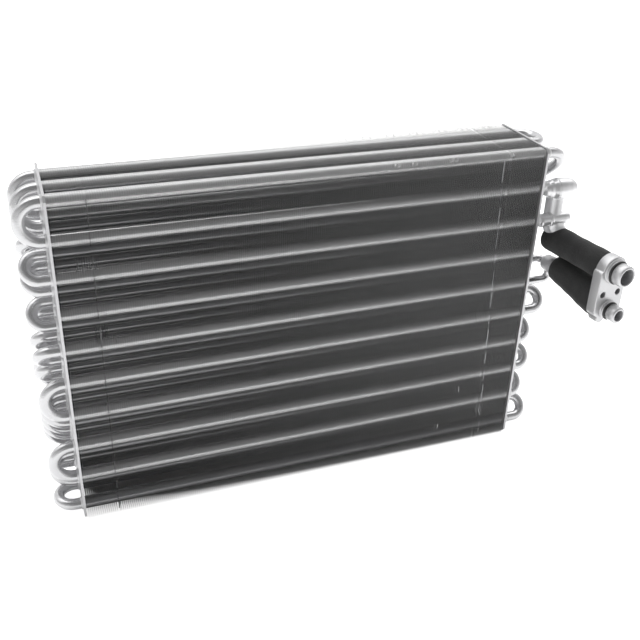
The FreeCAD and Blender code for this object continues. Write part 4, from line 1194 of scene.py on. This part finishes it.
# %% Lay the floor
FLOOR_FRONT, FLOOR_BACK, FLOOR_HALF, FLOOR_TOP, SWEEP = -1.6, 1.6, 3.0, 3.0, 0.6
sweep_angle = np.linspace(-np.pi / 2, 0, 16)
floor_profile = np.concatenate([
    [(FLOOR_FRONT, 0.0)],
    np.stack([FLOOR_BACK + SWEEP * np.cos(sweep_angle),
              SWEEP + SWEEP * np.sin(sweep_angle)], axis=1),
    [(FLOOR_BACK + SWEEP, FLOOR_TOP)]])
floor_points = np.zeros((len(floor_profile), 2, 3))
floor_points[:, :, 0] = (-FLOOR_HALF, FLOOR_HALF)
floor_points[:, :, 1:] = floor_profile[:, None, :]
floor = add_piece("studio_floor", floor_points, grid_faces(len(floor_profile), 2, closed=False))
print("floor:", FLOOR_HALF * 2, "m wide")

# %% [markdown]
# Polished metal shows nothing but its surroundings. Lamps could be tried one by one, but
# what counts is how bright each direction is. The table glows near the object, fades to
# the front and back, and is dark right under the core as a painted shadow. The camera
# sees plain paper.

# %% Let the table glow
TABLE_GLOW, CAMERA_GLOW, BACKDROP_SHARE = 0.72, 0.8, 0.55
GLOW_NEAR, GLOW_FAR = (-1.1, -0.2), (0.6, 1.6)
BESIDE_X, BESIDE_Y = (0.16, 0.2), (0.02, 0.07)
PAPER, tree, paper = new_material("studio_paper")
x, y, _ = split_node(tree, place_node(tree))
near = ramp(tree, y, *GLOW_NEAR, 0.0, TABLE_GLOW)
far = ramp(tree, y, *GLOW_FAR, 1.0, BACKDROP_SHARE)
# Under the core the glow is cut away as a painted shadow.
outside_painted_shadow = math_node(tree, "MAXIMUM", ramp(tree, math_node(tree, "ABSOLUTE", x), *BESIDE_X),
                    ramp(tree, math_node(tree, "ABSOLUTE", y), *BESIDE_Y))
pool = math_node(tree, "MULTIPLY", math_node(tree, "MULTIPLY", near, far), outside_painted_shadow)
seen = add_node(tree, "LightPath", {})["Is Camera Ray"]
feed(tree, paper, {"Base Color": (0.9, 0.9, 0.9, 1), "Roughness": 0.8,
                   "Emission Color": (1, 1, 1, 1),
                   "Emission Strength": mix_node(tree, seen, pool, CAMERA_GLOW, kind="FLOAT")})
floor.data.materials.append(PAPER)
print("table glow:", TABLE_GLOW, "and to the camera", CAMERA_GLOW)

# %% [markdown]
# One world hangs round the table: a soft ceiling over and behind the object, weaker walls
# at both sides and a dark place for the photographer. An image of a studio could do
# that, but ramps over the direction need no file. Left and right are alike, because
# facing fins swap them.

# %% Hang the soft ceiling and walls as one surrounding
CEILING, WALLS, CAMERA_SIDE, BEHIND = 1.5, 0.6, 0.26, 0.7
CEILING_HEIGHT, CEILING_DEPTH = (0.35, 0.75), (-0.2, 0.15)
WALL_WIDTH, WALL_HEIGHT, BEHIND_DEPTH = (0.1, 0.65), (0.75, 0.1), (0.1, 0.6)
world = bpy.data.worlds.new("studio_world")
world.use_nodes = True
tree = world.node_tree
x, y, z = split_node(tree, place_node(tree, "Generated"))
ceiling = math_node(tree, "MULTIPLY", ramp(tree, z, *CEILING_HEIGHT),
                    ramp(tree, y, *CEILING_DEPTH))
walls = math_node(tree, "MULTIPLY", ramp(tree, math_node(tree, "ABSOLUTE", x), *WALL_WIDTH),
                  ramp(tree, z, *WALL_HEIGHT))
behind = ramp(tree, y, *BEHIND_DEPTH, CAMERA_SIDE, BEHIND)
glow = math_node(tree, "MULTIPLY_ADD", ceiling, CEILING,
                 math_node(tree, "MULTIPLY_ADD", walls, WALLS, behind))
room = tree.nodes["Background"]
feed(tree, room, {"Color": (1, 1, 1, 1), "Strength": glow})
white_beyond = add_node(tree, "Background", {"Color": (1, 1, 1, 1), "Strength": 1.0})[0]
seen = add_node(tree, "LightPath", {})["Is Camera Ray"]
choice = add_node(tree, "MixShader", {0: seen, 1: room.outputs[0], 2: white_beyond})[0]
feed(tree, tree.nodes["World Output"], {"Surface": choice})
bpy.context.scene.world = world
bpy.context.scene.view_settings.view_transform = "Standard"
print("ceiling", CEILING, "walls", WALLS, "camera side", CAMERA_SIDE)

# %% [markdown]
# A surrounding alone gives light no direction, so one weak softbox hangs over the core.
# Facing fins hand light on many times, so more bounces are allowed than usual.

# %% Hang the softbox
SOFTBOX_WIDTH, SOFTBOX_DEPTH, SOFTBOX_WATTS = 2.4, 1.2, 6.0
SOFTBOX_PLACE = (0.0, 0.5, 1.9)
GLOSSY_BOUNCES, MOST_BOUNCES = 12, 16
softbox = bpy.data.lights.new("overhead_softbox", "AREA")
softbox.shape = "RECTANGLE"
softbox.size, softbox.size_y = SOFTBOX_WIDTH, SOFTBOX_DEPTH
softbox.energy = SOFTBOX_WATTS
softbox_object = bpy.data.objects.new("overhead_softbox", softbox)
softbox_object.location = SOFTBOX_PLACE
bpy.context.scene.collection.objects.link(softbox_object)
bpy.context.scene.cycles.glossy_bounces = GLOSSY_BOUNCES
bpy.context.scene.cycles.max_bounces = MOST_BOUNCES
print("softbox:", softbox.energy, "W")
